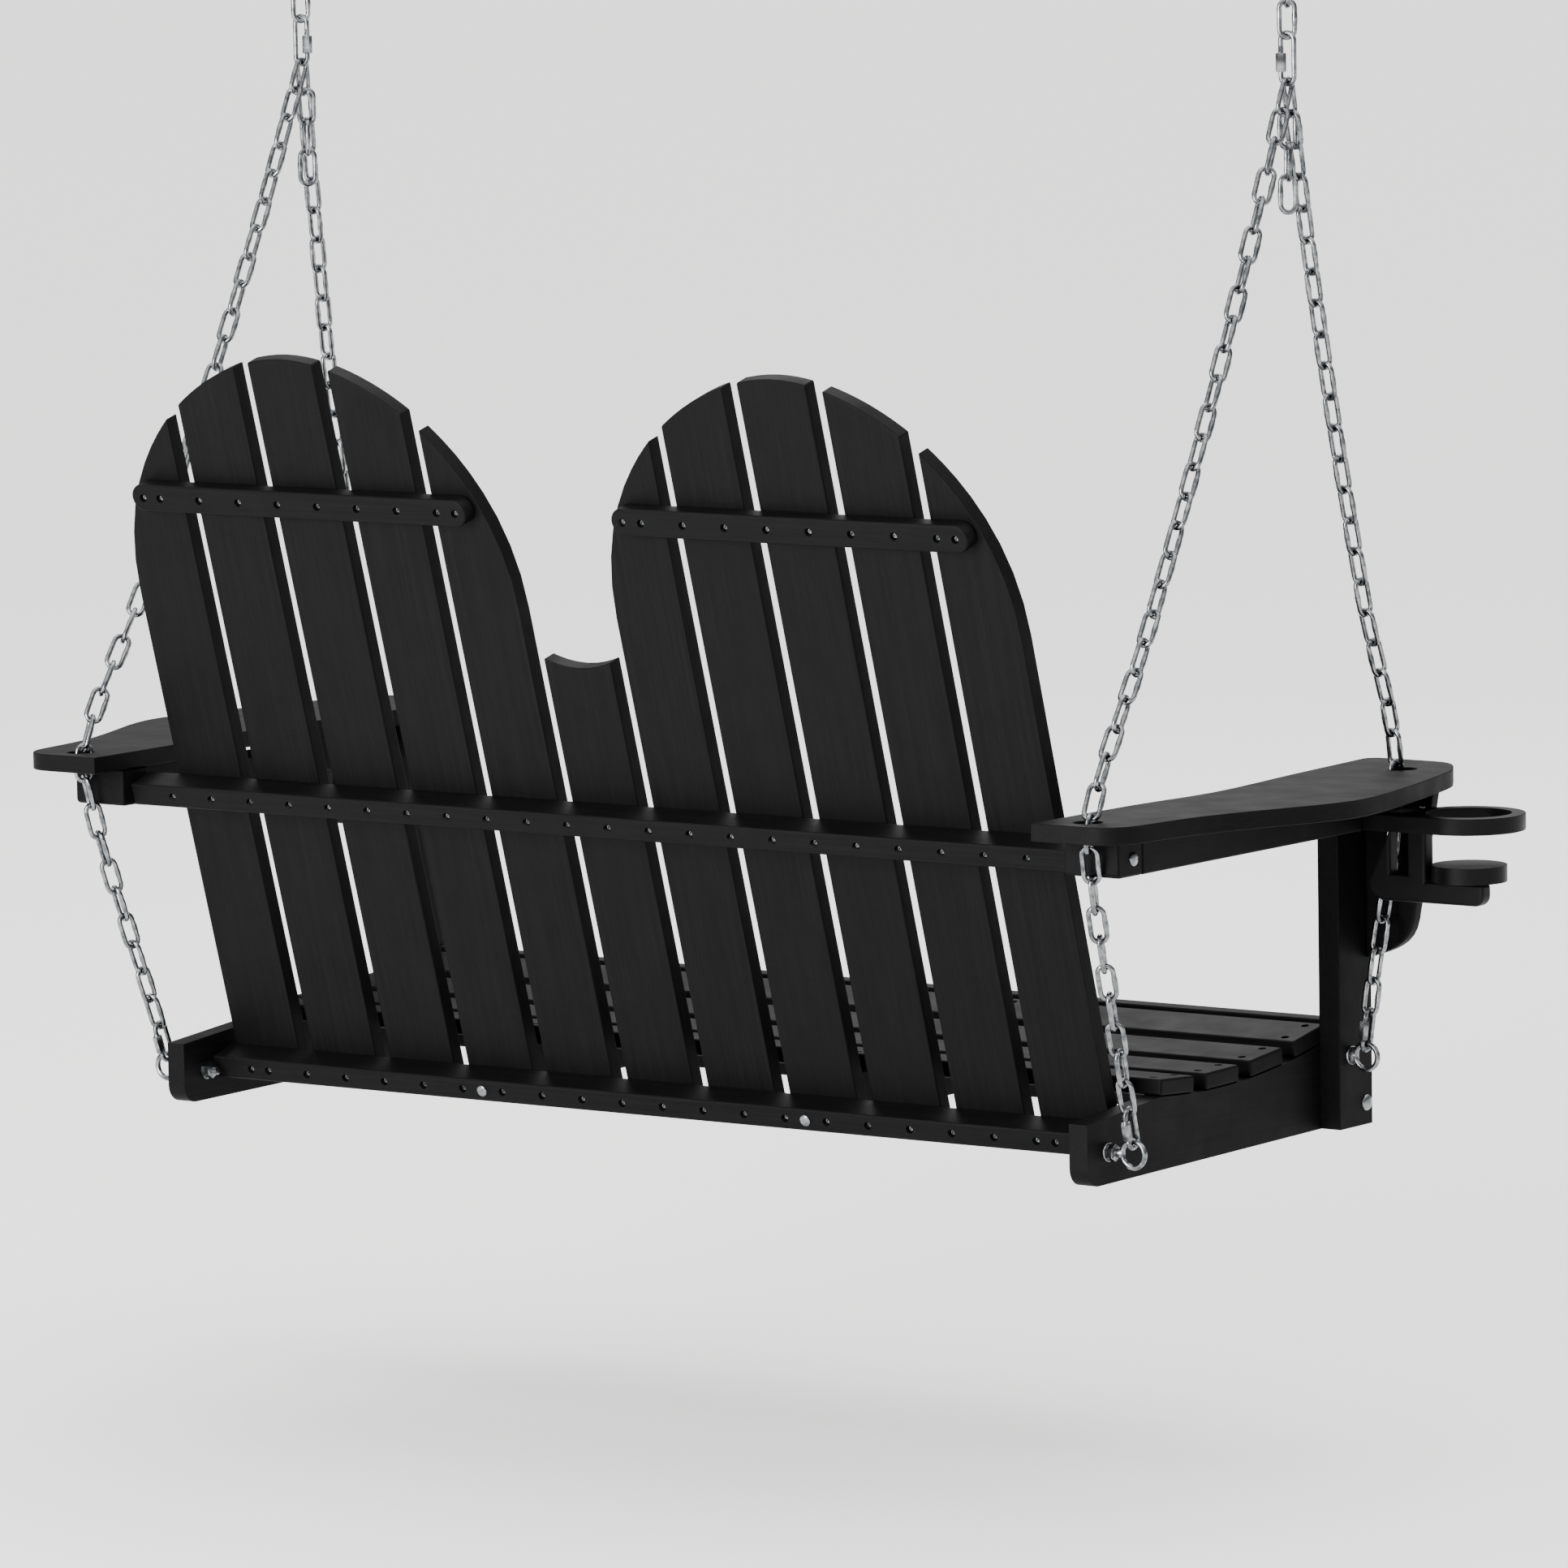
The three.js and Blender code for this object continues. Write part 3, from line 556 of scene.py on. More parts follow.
def lathe(
    shape: bmesh.types.BMesh,
    profile: Sequence[tuple[float, float]],
    sides: int,
    frame: Matrix,
) -> None:
    """Turns a profile round the frame's Z axis and adds it as a closed body.

    Args:
        shape: The mesh it is added to.
        profile: Radius and height in millimetres, from the axis at one end to the axis at the other.
        sides: How many steps the turn has.
        frame: Where the body stands.
    """
    rows: list[list[bmesh.types.BMVert]] = []
    for radius, height in profile:
        count = 1 if radius == 0.0 else sides
        row = []
        for step in range(count):
            turn = 2.0 * math.pi * step / sides
            spot = Vector((radius * math.cos(turn), radius * math.sin(turn), height)) * MM
            row.append(shape.verts.new(frame @ spot))
        rows.append(row)
    for low, high in zip(rows, rows[1:]):
        for step in range(sides):
            after = (step + 1) % sides
            lower = [low[step % len(low)], low[after % len(low)]]
            upper = [high[after % len(high)], high[step % len(high)]]
            unique = list(dict.fromkeys(lower + upper))
            if len(unique) > 2:
                shape.faces.new(unique)


def sweep_loop(
    shape: bmesh.types.BMesh,
    centres: Sequence[Vector],
    outward: Sequence[Vector],
    side_axis: Vector,
    radii: Sequence[float],
    sides: int,
    frame: Matrix,
) -> None:
    """Sweeps a round wire along a closed flat loop.

    Args:
        shape: The mesh it is added to.
        centres: The loop's points, in millimetres.
        outward: The direction away from the loop's inside at each point.
        side_axis: The direction square to the loop.
        radii: The wire's radius at each point, in millimetres.
        sides: How many sides the wire has.
        frame: Where the loop stands.
    """
    rings = []
    for centre, away, radius in zip(centres, outward, radii):
        ring = []
        for step in range(sides):
            turn = 2.0 * math.pi * step / sides
            spot = centre + radius * (math.cos(turn) * away + math.sin(turn) * side_axis)
            ring.append(shape.verts.new(frame @ (spot * MM)))
        rings.append(ring)
    for index, ring in enumerate(rings):
        following = rings[(index + 1) % len(rings)]
        for step in range(sides):
            after = (step + 1) % sides
            shape.faces.new((ring[step], following[step], following[after], ring[after]))


def closed_mesh(build: Callable[[bmesh.types.BMesh], None]) -> bpy.types.Mesh:
    """Runs a building step on an empty mesh and turns all faces outward.

    Args:
        build: Adds the bodies.

    Returns:
        The mesh.
    """
    shape = bmesh.new()
    build(shape)
    bmesh.ops.recalc_face_normals(shape, faces=shape.faces)
    mesh = bpy.data.meshes.new("shape")
    shape.to_mesh(mesh)
    shape.free()
    return mesh


@dataclass(frozen=True)
class Wire:
    """A long flat loop of round wire, such as a chain link or a quick link's body."""

    long: float
    wide: float
    thick: float
    weld_bulge: float = 0.0
    arc_steps: int = 8
    straight_steps: int = 5
    sides: int = 10

    def stations(self) -> Iterable[tuple[Vector, Vector, float]]:
        """Gives the loop's points round the YZ plane.

        Returns:
            Each point, the direction away from the loop's inside, and the wire's radius there.
        """
        bend = (self.wide - self.thick) / 2.0
        straight = (self.long - self.wide) / 2.0
        radius = self.thick / 2.0
        for sign in (1.0, -1.0):
            for step in range(self.arc_steps + 1):
                turn = math.pi * step / self.arc_steps
                away = Vector((0.0, sign * math.cos(turn), sign * math.sin(turn)))
                yield Vector((0.0, 0.0, sign * straight)) + bend * away, away, radius
            for step in range(1, self.straight_steps):
                share = step / self.straight_steps
                height = sign * straight * (1.0 - 2.0 * share)
                away = Vector((0.0, -sign, 0.0))
                swell = self.weld_bulge if sign < 0.0 and abs(share - 0.5) < 0.15 else 0.0
                yield Vector((0.0, -sign * bend, height)), away, radius + swell

    def add(self, shape: bmesh.types.BMesh, frame: Matrix) -> None:
        """Adds the loop.

        Args:
            shape: The mesh it joins.
            frame: Where it stands, with its long side along Z and its face along X.
        """
        centres, outward, radii = zip(*self.stations())
        sweep_loop(shape, centres, outward, Vector((1.0, 0.0, 0.0)), radii, self.sides, frame)


@dataclass(frozen=True)
class Screw:
    """A deck screw's head, sunk in a counterbore, with a round drive recess."""

    head: float = 3.7
    bore: float = 4.5
    sunk: float = 3.4
    bore_deep: float = 5.8
    drive: float = 1.7
    drive_deep: float = 1.5

    def add(self, shape: bmesh.types.BMesh, frame: Matrix) -> None:
        """Adds the head.

        Args:
            shape: The mesh it joins.
            frame: The bore's mouth, with Z out of the board.
        """
        top = -self.sunk
        foot = -self.bore_deep - 0.4
        profile = [
            (0.0, top - self.drive_deep),
            (self.drive * 0.8, top - self.drive_deep),
            (self.drive, top - 0.1),
            (self.drive + 0.5, top),
            (self.head * 0.78, top - 0.15),
            (self.head * 0.96, top - 0.7),
            (self.head, top - 1.2),
            (self.head, foot),
            (0.0, foot),
        ]
        lathe(shape, profile, 20, frame)

    def cutter(self, frames: Sequence[Matrix]) -> bpy.types.Mesh:
        """Makes the tools that cut the counterbores.

        Args:
            frames: The bores' mouths.

        Returns:
            One mesh of round plugs.
        """
        profile = [
            (0.0, -self.bore_deep),
            (self.bore, -self.bore_deep),
            (self.bore, 0.0),
            (self.bore + 0.5, 0.5),
            (self.bore + 0.5, 3.0),
            (0.0, 3.0),
        ]

        def build(shape: bmesh.types.BMesh) -> None:
            """Adds a plug at each place."""
            for frame in frames:
                lathe(shape, profile, 24, frame)

        return closed_mesh(build)


@dataclass(frozen=True)
class ButtonBolt:
    """A carriage bolt's low round head."""

    radius: float = 10.0
    rise: float = 4.2

    def add(self, shape: bmesh.types.BMesh, frame: Matrix) -> None:
        """Adds the head.

        Args:
            shape: The mesh it joins.
            frame: Where it sits, with Z out of the board.
        """
        steps = 6
        dome = []
        for step in range(steps + 1):
            turn = 0.5 * math.pi * step / steps
            dome.append((self.radius * math.cos(turn), 0.8 + (self.rise - 0.8) * math.sin(turn)))
        dome[-1] = (0.0, self.rise)
        lathe(shape, [(0.0, -1.0), (self.radius, -1.0), *dome], 28, frame)


@dataclass
class Board:
    """One board of the frame, with eased edges and counterbored screw holes."""

    node: str
    material: bpy.types.Material
    slot: Slot = Slot.LUMBER
    easing: float = 2.4
    edge_steps: int = 3
    bores: list[Matrix] = field(default_factory=list)
    screw: Screw = field(default_factory=Screw)

    def blank_mesh(self) -> bpy.types.Mesh:
        """Copies the node's solid as clean flat faces.

        Returns:
            The mesh, with its flat faces merged.
        """
        flat = math.radians(0.4)
        shape = bmesh.new()
        shape.from_mesh(bpy.data.objects[self.node].data)
        bmesh.ops.remove_doubles(shape, verts=shape.verts, dist=0.01 * MM)
        bmesh.ops.dissolve_limit(shape, angle_limit=flat, verts=shape.verts, edges=shape.edges)
        bmesh.ops.recalc_face_normals(shape, faces=shape.faces)
        mesh = bpy.data.meshes.new(self.node + "_blank")
        shape.to_mesh(mesh)
        shape.free()
        return mesh

    def build(self) -> bpy.types.Object:
        """Eases the edges and cuts the bores.

        Returns:
            The finished board, which stands for its node.
        """
        work = bpy.data.objects.new(self.node + "_work", self.blank_mesh())
        bpy.context.scene.collection.objects.link(work)
        ease = work.modifiers.new("eased_edges", "BEVEL")
        ease.width = self.easing * MM
        ease.segments = self.edge_steps
        ease.limit_method = "ANGLE"
        ease.angle_limit = math.radians(40.0)
        ease.use_clamp_overlap = True
        tools = None
        if self.bores:
            tools = bpy.data.objects.new("bore_tools", self.screw.cutter(self.bores))
            bpy.context.scene.collection.objects.link(tools)
            cut = work.modifiers.new("bores", "BOOLEAN")
            cut.operation = "DIFFERENCE"
            cut.solver = "EXACT"
            cut.object = tools
        mesh = applied(work)
        bpy.data.objects.remove(work)
        if tools:
            bpy.data.objects.remove(tools)
        made = as_piece(self.node + "_eased", mesh, self.material, Body.SEAT)
        level = made.modifiers.new("level_faces", "WEIGHTED_NORMAL")
        level.keep_sharp = True
        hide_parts(self.node)
        return made

    def fit_screws(self, finish: bpy.types.Material) -> None:
        """Puts a screw head in each bore.

        Args:
            finish: The screws' material.
        """

        def build(shape: bmesh.types.BMesh) -> None:
            """Adds the heads."""
            for frame in self.bores:
                self.screw.add(shape, frame)

        as_piece(self.node + "_screws", closed_mesh(build), finish, Body.SEAT)


# ---- Sub-assemblies -----------------------------------------------------------------------


def side_bolt(
    stem: str,
    head: ButtonBolt,
    spot: tuple[float, float, float],
    side: Side,
    finish: bpy.types.Material,
) -> None:
    """Adds a bolt head that faces outward on one side.

    Args:
        stem: The piece's name without its side.
        head: The bolt head.
        spot: Its place on the left side, in bench millimetres.
        side: The side it is wanted on.
        finish: Its material.
    """
    outward = Vector((float(side.value), 0.0, 0.0))
    frame = facing(mirrored(place(*spot), side), outward)
    mesh = closed_mesh(lambda shape: head.add(shape, frame))
    as_piece(f"{stem}_{side.tag}", mesh, finish, Body.SEAT)


@dataclass
class BackPanel:
    """The eleven slats, the two braces and the two rails of the reclined back."""

    finishes: Finishes
    slats: int = 11
    pitch: float = 109.0
    screw_offset: float = 27.25
    brace_thick: float = 18.3
    brace_up: float = 357.4
    brace_reach: tuple[float, float] = (111.6, 541.0)
    mid_rail_up: float = 10.8
    bottom_rail_up: float = -315.0
    bottom_reach: float = 542.0

    def rear_bore(self, x: float, depth: float, up: float) -> Matrix:
        """Gives the mouth of a bore on a rear face of the panel.

        Args:
            x: Across the panel.
            depth: The face's distance from the slats' rear faces.
            up: Along the slats.

        Returns:
            The bore's frame.
        """
        spot = panel() @ (Vector((x, depth, up)) * MM)
        return facing(spot, panel().to_3x3() @ Vector((0.0, 1.0, 0.0)))

    def screw_columns(self) -> list[float]:
        """Lists the screws' places across the panel, two to a slat."""
        middles = [(index - (self.slats - 1) / 2.0) * self.pitch for index in range(self.slats)]
        return [middle + sign * self.screw_offset for middle in middles for sign in (-1.0, 1.0)]

    def brace_bores(self, side: Side) -> list[Matrix]:
        """Lists a brace's bores.

        Args:
            side: The brace's side.

        Returns:
            The bores' frames.
        """
        inner, outer = self.brace_reach
        columns = [x for x in self.screw_columns() if x * side.value > self.pitch / 2.0]
        held = [min(max(abs(x), inner), outer) * side.value for x in columns]
        return [self.rear_bore(x, self.brace_thick, self.brace_up) for x in held]

    def build(self) -> None:
        """Builds the panel."""
        upright = self.finishes.lumber[Grain.UPRIGHT]
        across = self.finishes.lumber[Grain.ACROSS]
        for number in range(1, self.slats + 1):
            Board(f"back_slat_{number}", upright, easing=2.8).build()
        for side in Side:
            brace = Board(f"upper_brace_{side.tag}", across, easing=2.6, bores=self.brace_bores(side))
            brace.build()
            brace.fit_screws(self.finishes.screw)
        columns = self.screw_columns()
        mid_bores = [self.rear_bore(x, RAIL_DEPTH, self.mid_rail_up) for x in columns]
        mid = Board("mid_rail", across, bores=mid_bores)
        mid.build()
        mid.fit_screws(self.finishes.screw)
        reach = self.bottom_reach
        low_bores = [
            self.rear_bore(max(-reach, min(reach, x)), RAIL_DEPTH, self.bottom_rail_up) for x in columns
        ]
        low = Board("bottom_rail", across, bores=low_bores)
        low.build()
        low.fit_screws(self.finishes.screw)
        self.build_rail_bolts()

    def build_rail_bolts(self) -> None:
        """Adds the bolts that hold the bottom rail to the stringers."""

        def build(shape: bmesh.types.BMesh) -> None:
            """Adds a bolt head behind each stringer."""
            for side in Side:
                x = STRINGER_REACH * side.value
                ButtonBolt(6.5, 2.6).add(shape, self.rear_bore(x, RAIL_DEPTH, self.bottom_rail_up))

        as_piece("bottom_rail_bolts", closed_mesh(build), self.finishes.screw, Body.SEAT)


@dataclass
class SeatDeck:
    """The four slats of the hollowed seat."""

    finishes: Finishes
    slats: int = 4
    pitch: float = 85.3
    radius: float = 1000.0
    low_y: float = -275.0
    low_up: float = -255.0
    rear_arc: float = 65.6
    screw_reach: float = 600.0
    screw_offset: float = 20.0

    def slat_frame(self, number: int) -> Matrix:
        """Gives the frame of a slat's top face.

        Args:
            number: The slat's number from the front, from 1.

        Returns:
            A frame at the middle of the top face, with Z out of it.
        """
        turn = (self.rear_arc - (self.slats - number) * self.pitch) / self.radius
        y = self.low_y + self.radius * math.sin(turn)
        up = self.low_up + self.radius * (1.0 - math.cos(turn))
        return Matrix.Translation(place(0.0, y, up)) @ Matrix.Rotation(turn, 4, "X")

    def build(self) -> None:
        """Builds the slats with two screws at each end and over each stringer."""
        for number in range(1, self.slats + 1):
            frame = self.slat_frame(number)
            bores = []
            for side in Side:
                for reach in (self.screw_reach, STRINGER_REACH):
                    for offset in (-self.screw_offset, self.screw_offset):
                        spot = Vector((reach * side.value, offset, 0.0)) * MM
                        bores.append(frame @ Matrix.Translation(spot))
            slat = Board(f"seat_slat_{number}", self.finishes.lumber[Grain.ACROSS], easing=3.0, bores=bores)
            slat.build()
            slat.fit_screws(self.finishes.screw)


@dataclass
class UnderFrame:
    """The side boards, stringers, valance and front posts."""

    finishes: Finishes
    bolt_spot: tuple[float, float, float] = (644.8, -535.0, -320.0)

    def build(self) -> None:
        """Builds the boards and the posts' bolts."""
        deep = self.finishes.lumber[Grain.DEEP]
        upright = self.finishes.lumber[Grain.UPRIGHT]
        Board("front_valance", self.finishes.lumber[Grain.ACROSS]).build()
        for side in Side:
            Board(f"side_board_{side.tag}", deep).build()
            Board(f"seat_stringer_{side.tag}", deep).build()
            Board(f"front_post_{side.tag}", upright).build()
            side_bolt("post_bolt", ButtonBolt(9.0, 3.6), self.bolt_spot, side, self.finishes.screw)


@dataclass
class Arms:
    """The arms with the beams, rear blocks and corbels that carry them."""

    finishes: Finishes
    block_bolt: tuple[float, float, float] = (698.1, -13.0, 6.0)

    def build(self) -> None:
        """Builds both arms."""
        deep = self.finishes.lumber[Grain.DEEP]
        for side in Side:
            Board(f"arm_{side.tag}", deep, easing=4.2, edge_steps=4).build()
            Board(f"arm_beam_{side.tag}", deep).build()
            Board(f"rear_arm_block_{side.tag}", deep, easing=3.0).build()
            Board(f"corbel_{side.tag}", self.finishes.lumber[Grain.ACROSS], easing=3.0).build()
            side_bolt("block_bolt", ButtonBolt(7.5, 3.0), self.block_bolt, side, self.finishes.screw)


@dataclass
class DrinkHolders:
    """The ring plates, the hanging brackets and the coasters."""

    finishes: Finishes
    plate_screws: tuple[tuple[float, float], ...] = ((668.0, -524.0), (726.0, -524.0))
    pan_head: ButtonBolt = field(default_factory=lambda: ButtonBolt(3.8, 1.7))

    def build(self) -> None:
        """Builds both drink holders."""
        plastic = self.finishes.plastic
        for side in Side:
            Board(f"cup_ring_{side.tag}", plastic, Slot.PLASTIC, 2.4, 4).build()
            Board(f"cup_bracket_{side.tag}", plastic, Slot.PLASTIC, 3.6, 4).build()
            Board(f"cup_coaster_{side.tag}", plastic, Slot.PLASTIC, 4.0, 5).build()
            self.build_screws(side)

    def build_screws(self, side: Side) -> None:
        """Adds the screws that hold a ring plate up to its corbel.

        Args:
            side: The plate's side.
        """
        plate_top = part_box(f"cup_ring_{side.tag}")[1].z

        def build(shape: bmesh.types.BMesh) -> None:
            """Adds the pan heads."""
            for x, y in self.plate_screws:
                spot = mirrored(place(x, y, 0.0), side)
                spot.z = plate_top
                self.pan_head.add(shape, Matrix.Translation(spot))

        name = f"cup_ring_{side.tag}_screws"
        as_piece(name, closed_mesh(build), self.finishes.screw, Body.SEAT)


@dataclass
class EyeBolts:
    """The four eye bolts, with their nuts and washers."""

    finishes: Finishes
    ring_radius: float = 14.0
    wire: float = 6.0
    shank: float = 5.0
    nut: float = 9.5
    nut_thick: float = 8.0
    washer: float = 10.6
    washer_thick: float = 2.0
    thread_end: float = 7.0
    thread_pitch: float = 1.5

    def nut_profile(self, start: float, end: float) -> list[tuple[float, float]]:
        """Gives a hexagon nut's profile with chamfered corners.

        Args:
            start: Where the nut begins along the bolt.
            end: Where it ends.

        Returns:
            Radius and height pairs.
        """
        chamfer = min(1.0, (end - start) / 3.0)
        return [
            (0.0, start),
            (self.nut - chamfer, start),
            (self.nut, start + chamfer * 0.6),
            (self.nut, end - chamfer * 0.6),
            (self.nut - chamfer, end),
            (0.0, end),
        ]

    def thread_profile(self, start: float, end: float) -> list[tuple[float, float]]:
        """Gives a threaded stretch's profile as close ridges.

        Args:
            start: Where the thread begins.
            end: Where it ends.

        Returns:
            Radius and height pairs.
        """
        profile = [(0.0, start), (self.shank - 1.2, start)]
        turns = int((end - start) / self.thread_pitch)
        for index in range(turns):
            low = start + index * self.thread_pitch
            profile.append((self.shank - 0.7, low + 0.1))
            profile.append((self.shank, low + self.thread_pitch / 2.0))
        return [*profile, (self.shank - 0.7, end), (0.0, end)]

    def build_one(self, node: str, outer_face: float, inner_face: float, side: Side) -> None:
        """Builds one eye bolt.

        Args:
            node: The bolt's node.
            outer_face: The board's outer face, in millimetres from the middle.
            inner_face: The side board's inner face, in millimetres from the middle.
            side: The bolt's side.
        """
        low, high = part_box(node)
        tip = (high.x if side is Side.LEFT else -low.x) / MM
        ring_x = tip - self.ring_radius - self.wire / 2.0
        middle = (low + high) / 2.0
        axis = Vector((float(side.value), 0.0, 0.0))
        frame = facing(Vector((0.0, middle.y, middle.z)), axis)
        neck = ring_x - self.ring_radius
        collar = min(self.washer_thick + self.nut_thick, neck - outer_face - 0.2)
        nut_top = outer_face + 0.2 + collar
        inside = inner_face - 0.2

        def build(shape: bmesh.types.BMesh) -> None:
            """Adds the ring, the shank, the nuts and the washers.

            Args:
                shape: The mesh that they join.
            """
            steps = 40
            away = around(steps)
            eye = Matrix.Translation(Vector((ring_x * side.value * MM, middle.y, middle.z)))
            upright = eye @ Matrix.Rotation(math.radians(90.0), 4, "X")
            centres = [self.ring_radius * direction for direction in away]
            radii = [self.wire / 2.0] * steps
            sweep_loop(shape, centres, away, Vector((0.0, 0.0, 1.0)), radii, 12, upright)
            flare = [
                (0.0, inside - self.washer_thick - self.nut_thick - 1.0),
                (self.shank - 0.6, inside - self.washer_thick - self.nut_thick - 1.0),
                (self.shank - 0.6, nut_top - 0.5),
                (self.shank, neck - 1.5),
                (self.shank * 0.86, neck + 1.4),
                (0.0, neck + 1.4),
            ]
            lathe(shape, flare, 24, frame)
            washer = min(self.washer_thick, collar)
            start = outer_face + 0.2
            rim = [(0.0, start), (self.washer, start), (self.washer, start + washer * 0.6)]
            lathe(shape, [*rim, (self.washer - 0.6, start + washer), (0.0, start + washer)], 36, frame)
            if collar > self.washer_thick + 1.0:
                lathe(shape, self.nut_profile(start + washer - 0.05, nut_top), 6, frame)
            back = inside - self.washer_thick
            disc = [(0.0, back), (self.washer, back), (self.washer, inside), (0.0, inside)]
            lathe(shape, disc, 36, frame)
            lathe(shape, self.nut_profile(back - self.nut_thick, back + 0.05), 6, frame)
            end = back - self.nut_thick
            lathe(shape, self.thread_profile(end - self.thread_end, end + 0.05), 24, frame)

        made = as_piece(node + "_forged", closed_mesh(build), self.finishes.forged, Body.SEAT)
        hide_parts(node)

    def build(self) -> None:
        """Builds all four."""
        for side in Side:
            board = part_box(f"side_board_{side.tag}")
            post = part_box(f"front_post_{side.tag}")
            inner = min(abs(board[0].x), abs(board[1].x)) / MM
            board_face = max(abs(board[0].x), abs(board[1].x)) / MM
            post_face = max(abs(post[0].x), abs(post[1].x)) / MM
            self.build_one(f"eye_bolt_rear_{side.tag}", board_face, inner, side)
            self.build_one(f"eye_bolt_front_{side.tag}", post_face, inner, side)


@dataclass(frozen=True)
class QuickLink:
    """A threaded quick link: a bent wire body closed by a hexagon sleeve."""

    long: float
    wide: float = 22.0
    wire: float = 5.5
    sleeve_long: float = 20.0
    sleeve_radius: float = 5.6
    thread_long: float = 7.0

    def add_body(self, shape: bmesh.types.BMesh, frame: Matrix) -> None:
        """Adds the wire body and its threaded stretches.

        Args:
            shape: The mesh it joins.
            frame: The link's middle, with its long side along Z and its sleeve at +Y.
        """
        Wire(self.long, self.wide, self.wire, arc_steps=12, sides=12).add(shape, frame)
        side = (self.wide - self.wire) / 2.0
        ridge = self.wire / 2.0
        for sign in (-1.0, 1.0):
            start = sign * self.sleeve_long / 2.0
            profile = [(0.0, -self.thread_long / 2.0)]
            for index in range(7):
                low = -self.thread_long / 2.0 + index
                profile.append((ridge + 0.05, low + 0.1))
                profile.append((ridge + 0.4, low + 0.5))
            profile.append((0.0, self.thread_long / 2.0))
            spot = Vector((0.0, side, start)) * MM
            lathe(shape, profile, 16, frame @ Matrix.Translation(spot))

    def add_sleeve(self, shape: bmesh.types.BMesh, frame: Matrix) -> None:
        """Adds the hexagon sleeve.

        Args:
            shape: The mesh it joins.
            frame: The link's middle.
        """
        half = self.sleeve_long / 2.0
        bore = self.wire / 2.0 + 0.5
        edge = self.sleeve_radius - 0.8
        profile = [
            (0.0, -half + 0.6),
            (bore, -half + 0.6),
            (bore + 0.3, -half),
            (edge, -half),
            (self.sleeve_radius, -half + 0.9),
            (self.sleeve_radius, half - 0.9),
            (edge, half),
            (bore + 0.3, half),
            (bore, half - 0.6),
            (0.0, half - 0.6),
        ]
        side = Vector((0.0, (self.wide - self.wire) / 2.0, 0.0)) * MM
        lathe(shape, profile, 6, frame @ Matrix.Translation(side))


@dataclass
class ChainRoute:
    """The line that a run of chain follows."""

    points: list[Vector]
    steps: int = 40

    def dense(self) -> list[Vector]:
        """Draws the centripetal curve through the points.

        Returns:
            Close points along the curve.
        """
        first = self.points[0] * 2.0 - self.points[1]
        last = self.points[-1] * 2.0 - self.points[-2]
        held = [first, *self.points, last]
        line: list[Vector] = []
        for a, b, c, d in zip(held, held[1:], held[2:], held[3:]):
            t1 = (b - a).length ** 0.5
            t2 = t1 + (c - b).length ** 0.5
            t3 = t2 + (d - c).length ** 0.5
            for step in range(self.steps):
                t = t1 + (t2 - t1) * step / self.steps
                ab = a.lerp(b, t / t1)
                bc = b.lerp(c, (t - t1) / (t2 - t1))
                cd = c.lerp(d, (t - t2) / (t3 - t2))
                low = ab.lerp(bc, t / t2)
                high = bc.lerp(cd, (t - t1) / (t3 - t1))
                line.append(low.lerp(high, (t - t1) / (t2 - t1)))
        line.append(self.points[-1].copy())
        return line

    def at(self, line: Sequence[Vector], distance: float) -> tuple[Vector, Vector]:
        """Finds a place along the curve.

        Args:
            line: The curve's close points.
            distance: Metres from the curve's start, which may lie past either end.

        Returns:
            The point and the direction there.
        """
        left = distance
        for low, high in zip(line, line[1:]):
            step = high - low
            if left <= step.length or high is line[-1]:
                return low + step.normalized() * left, step.normalized()
            left -= step.length
        return line[-1].copy(), (line[-1] - line[-2]).normalized()


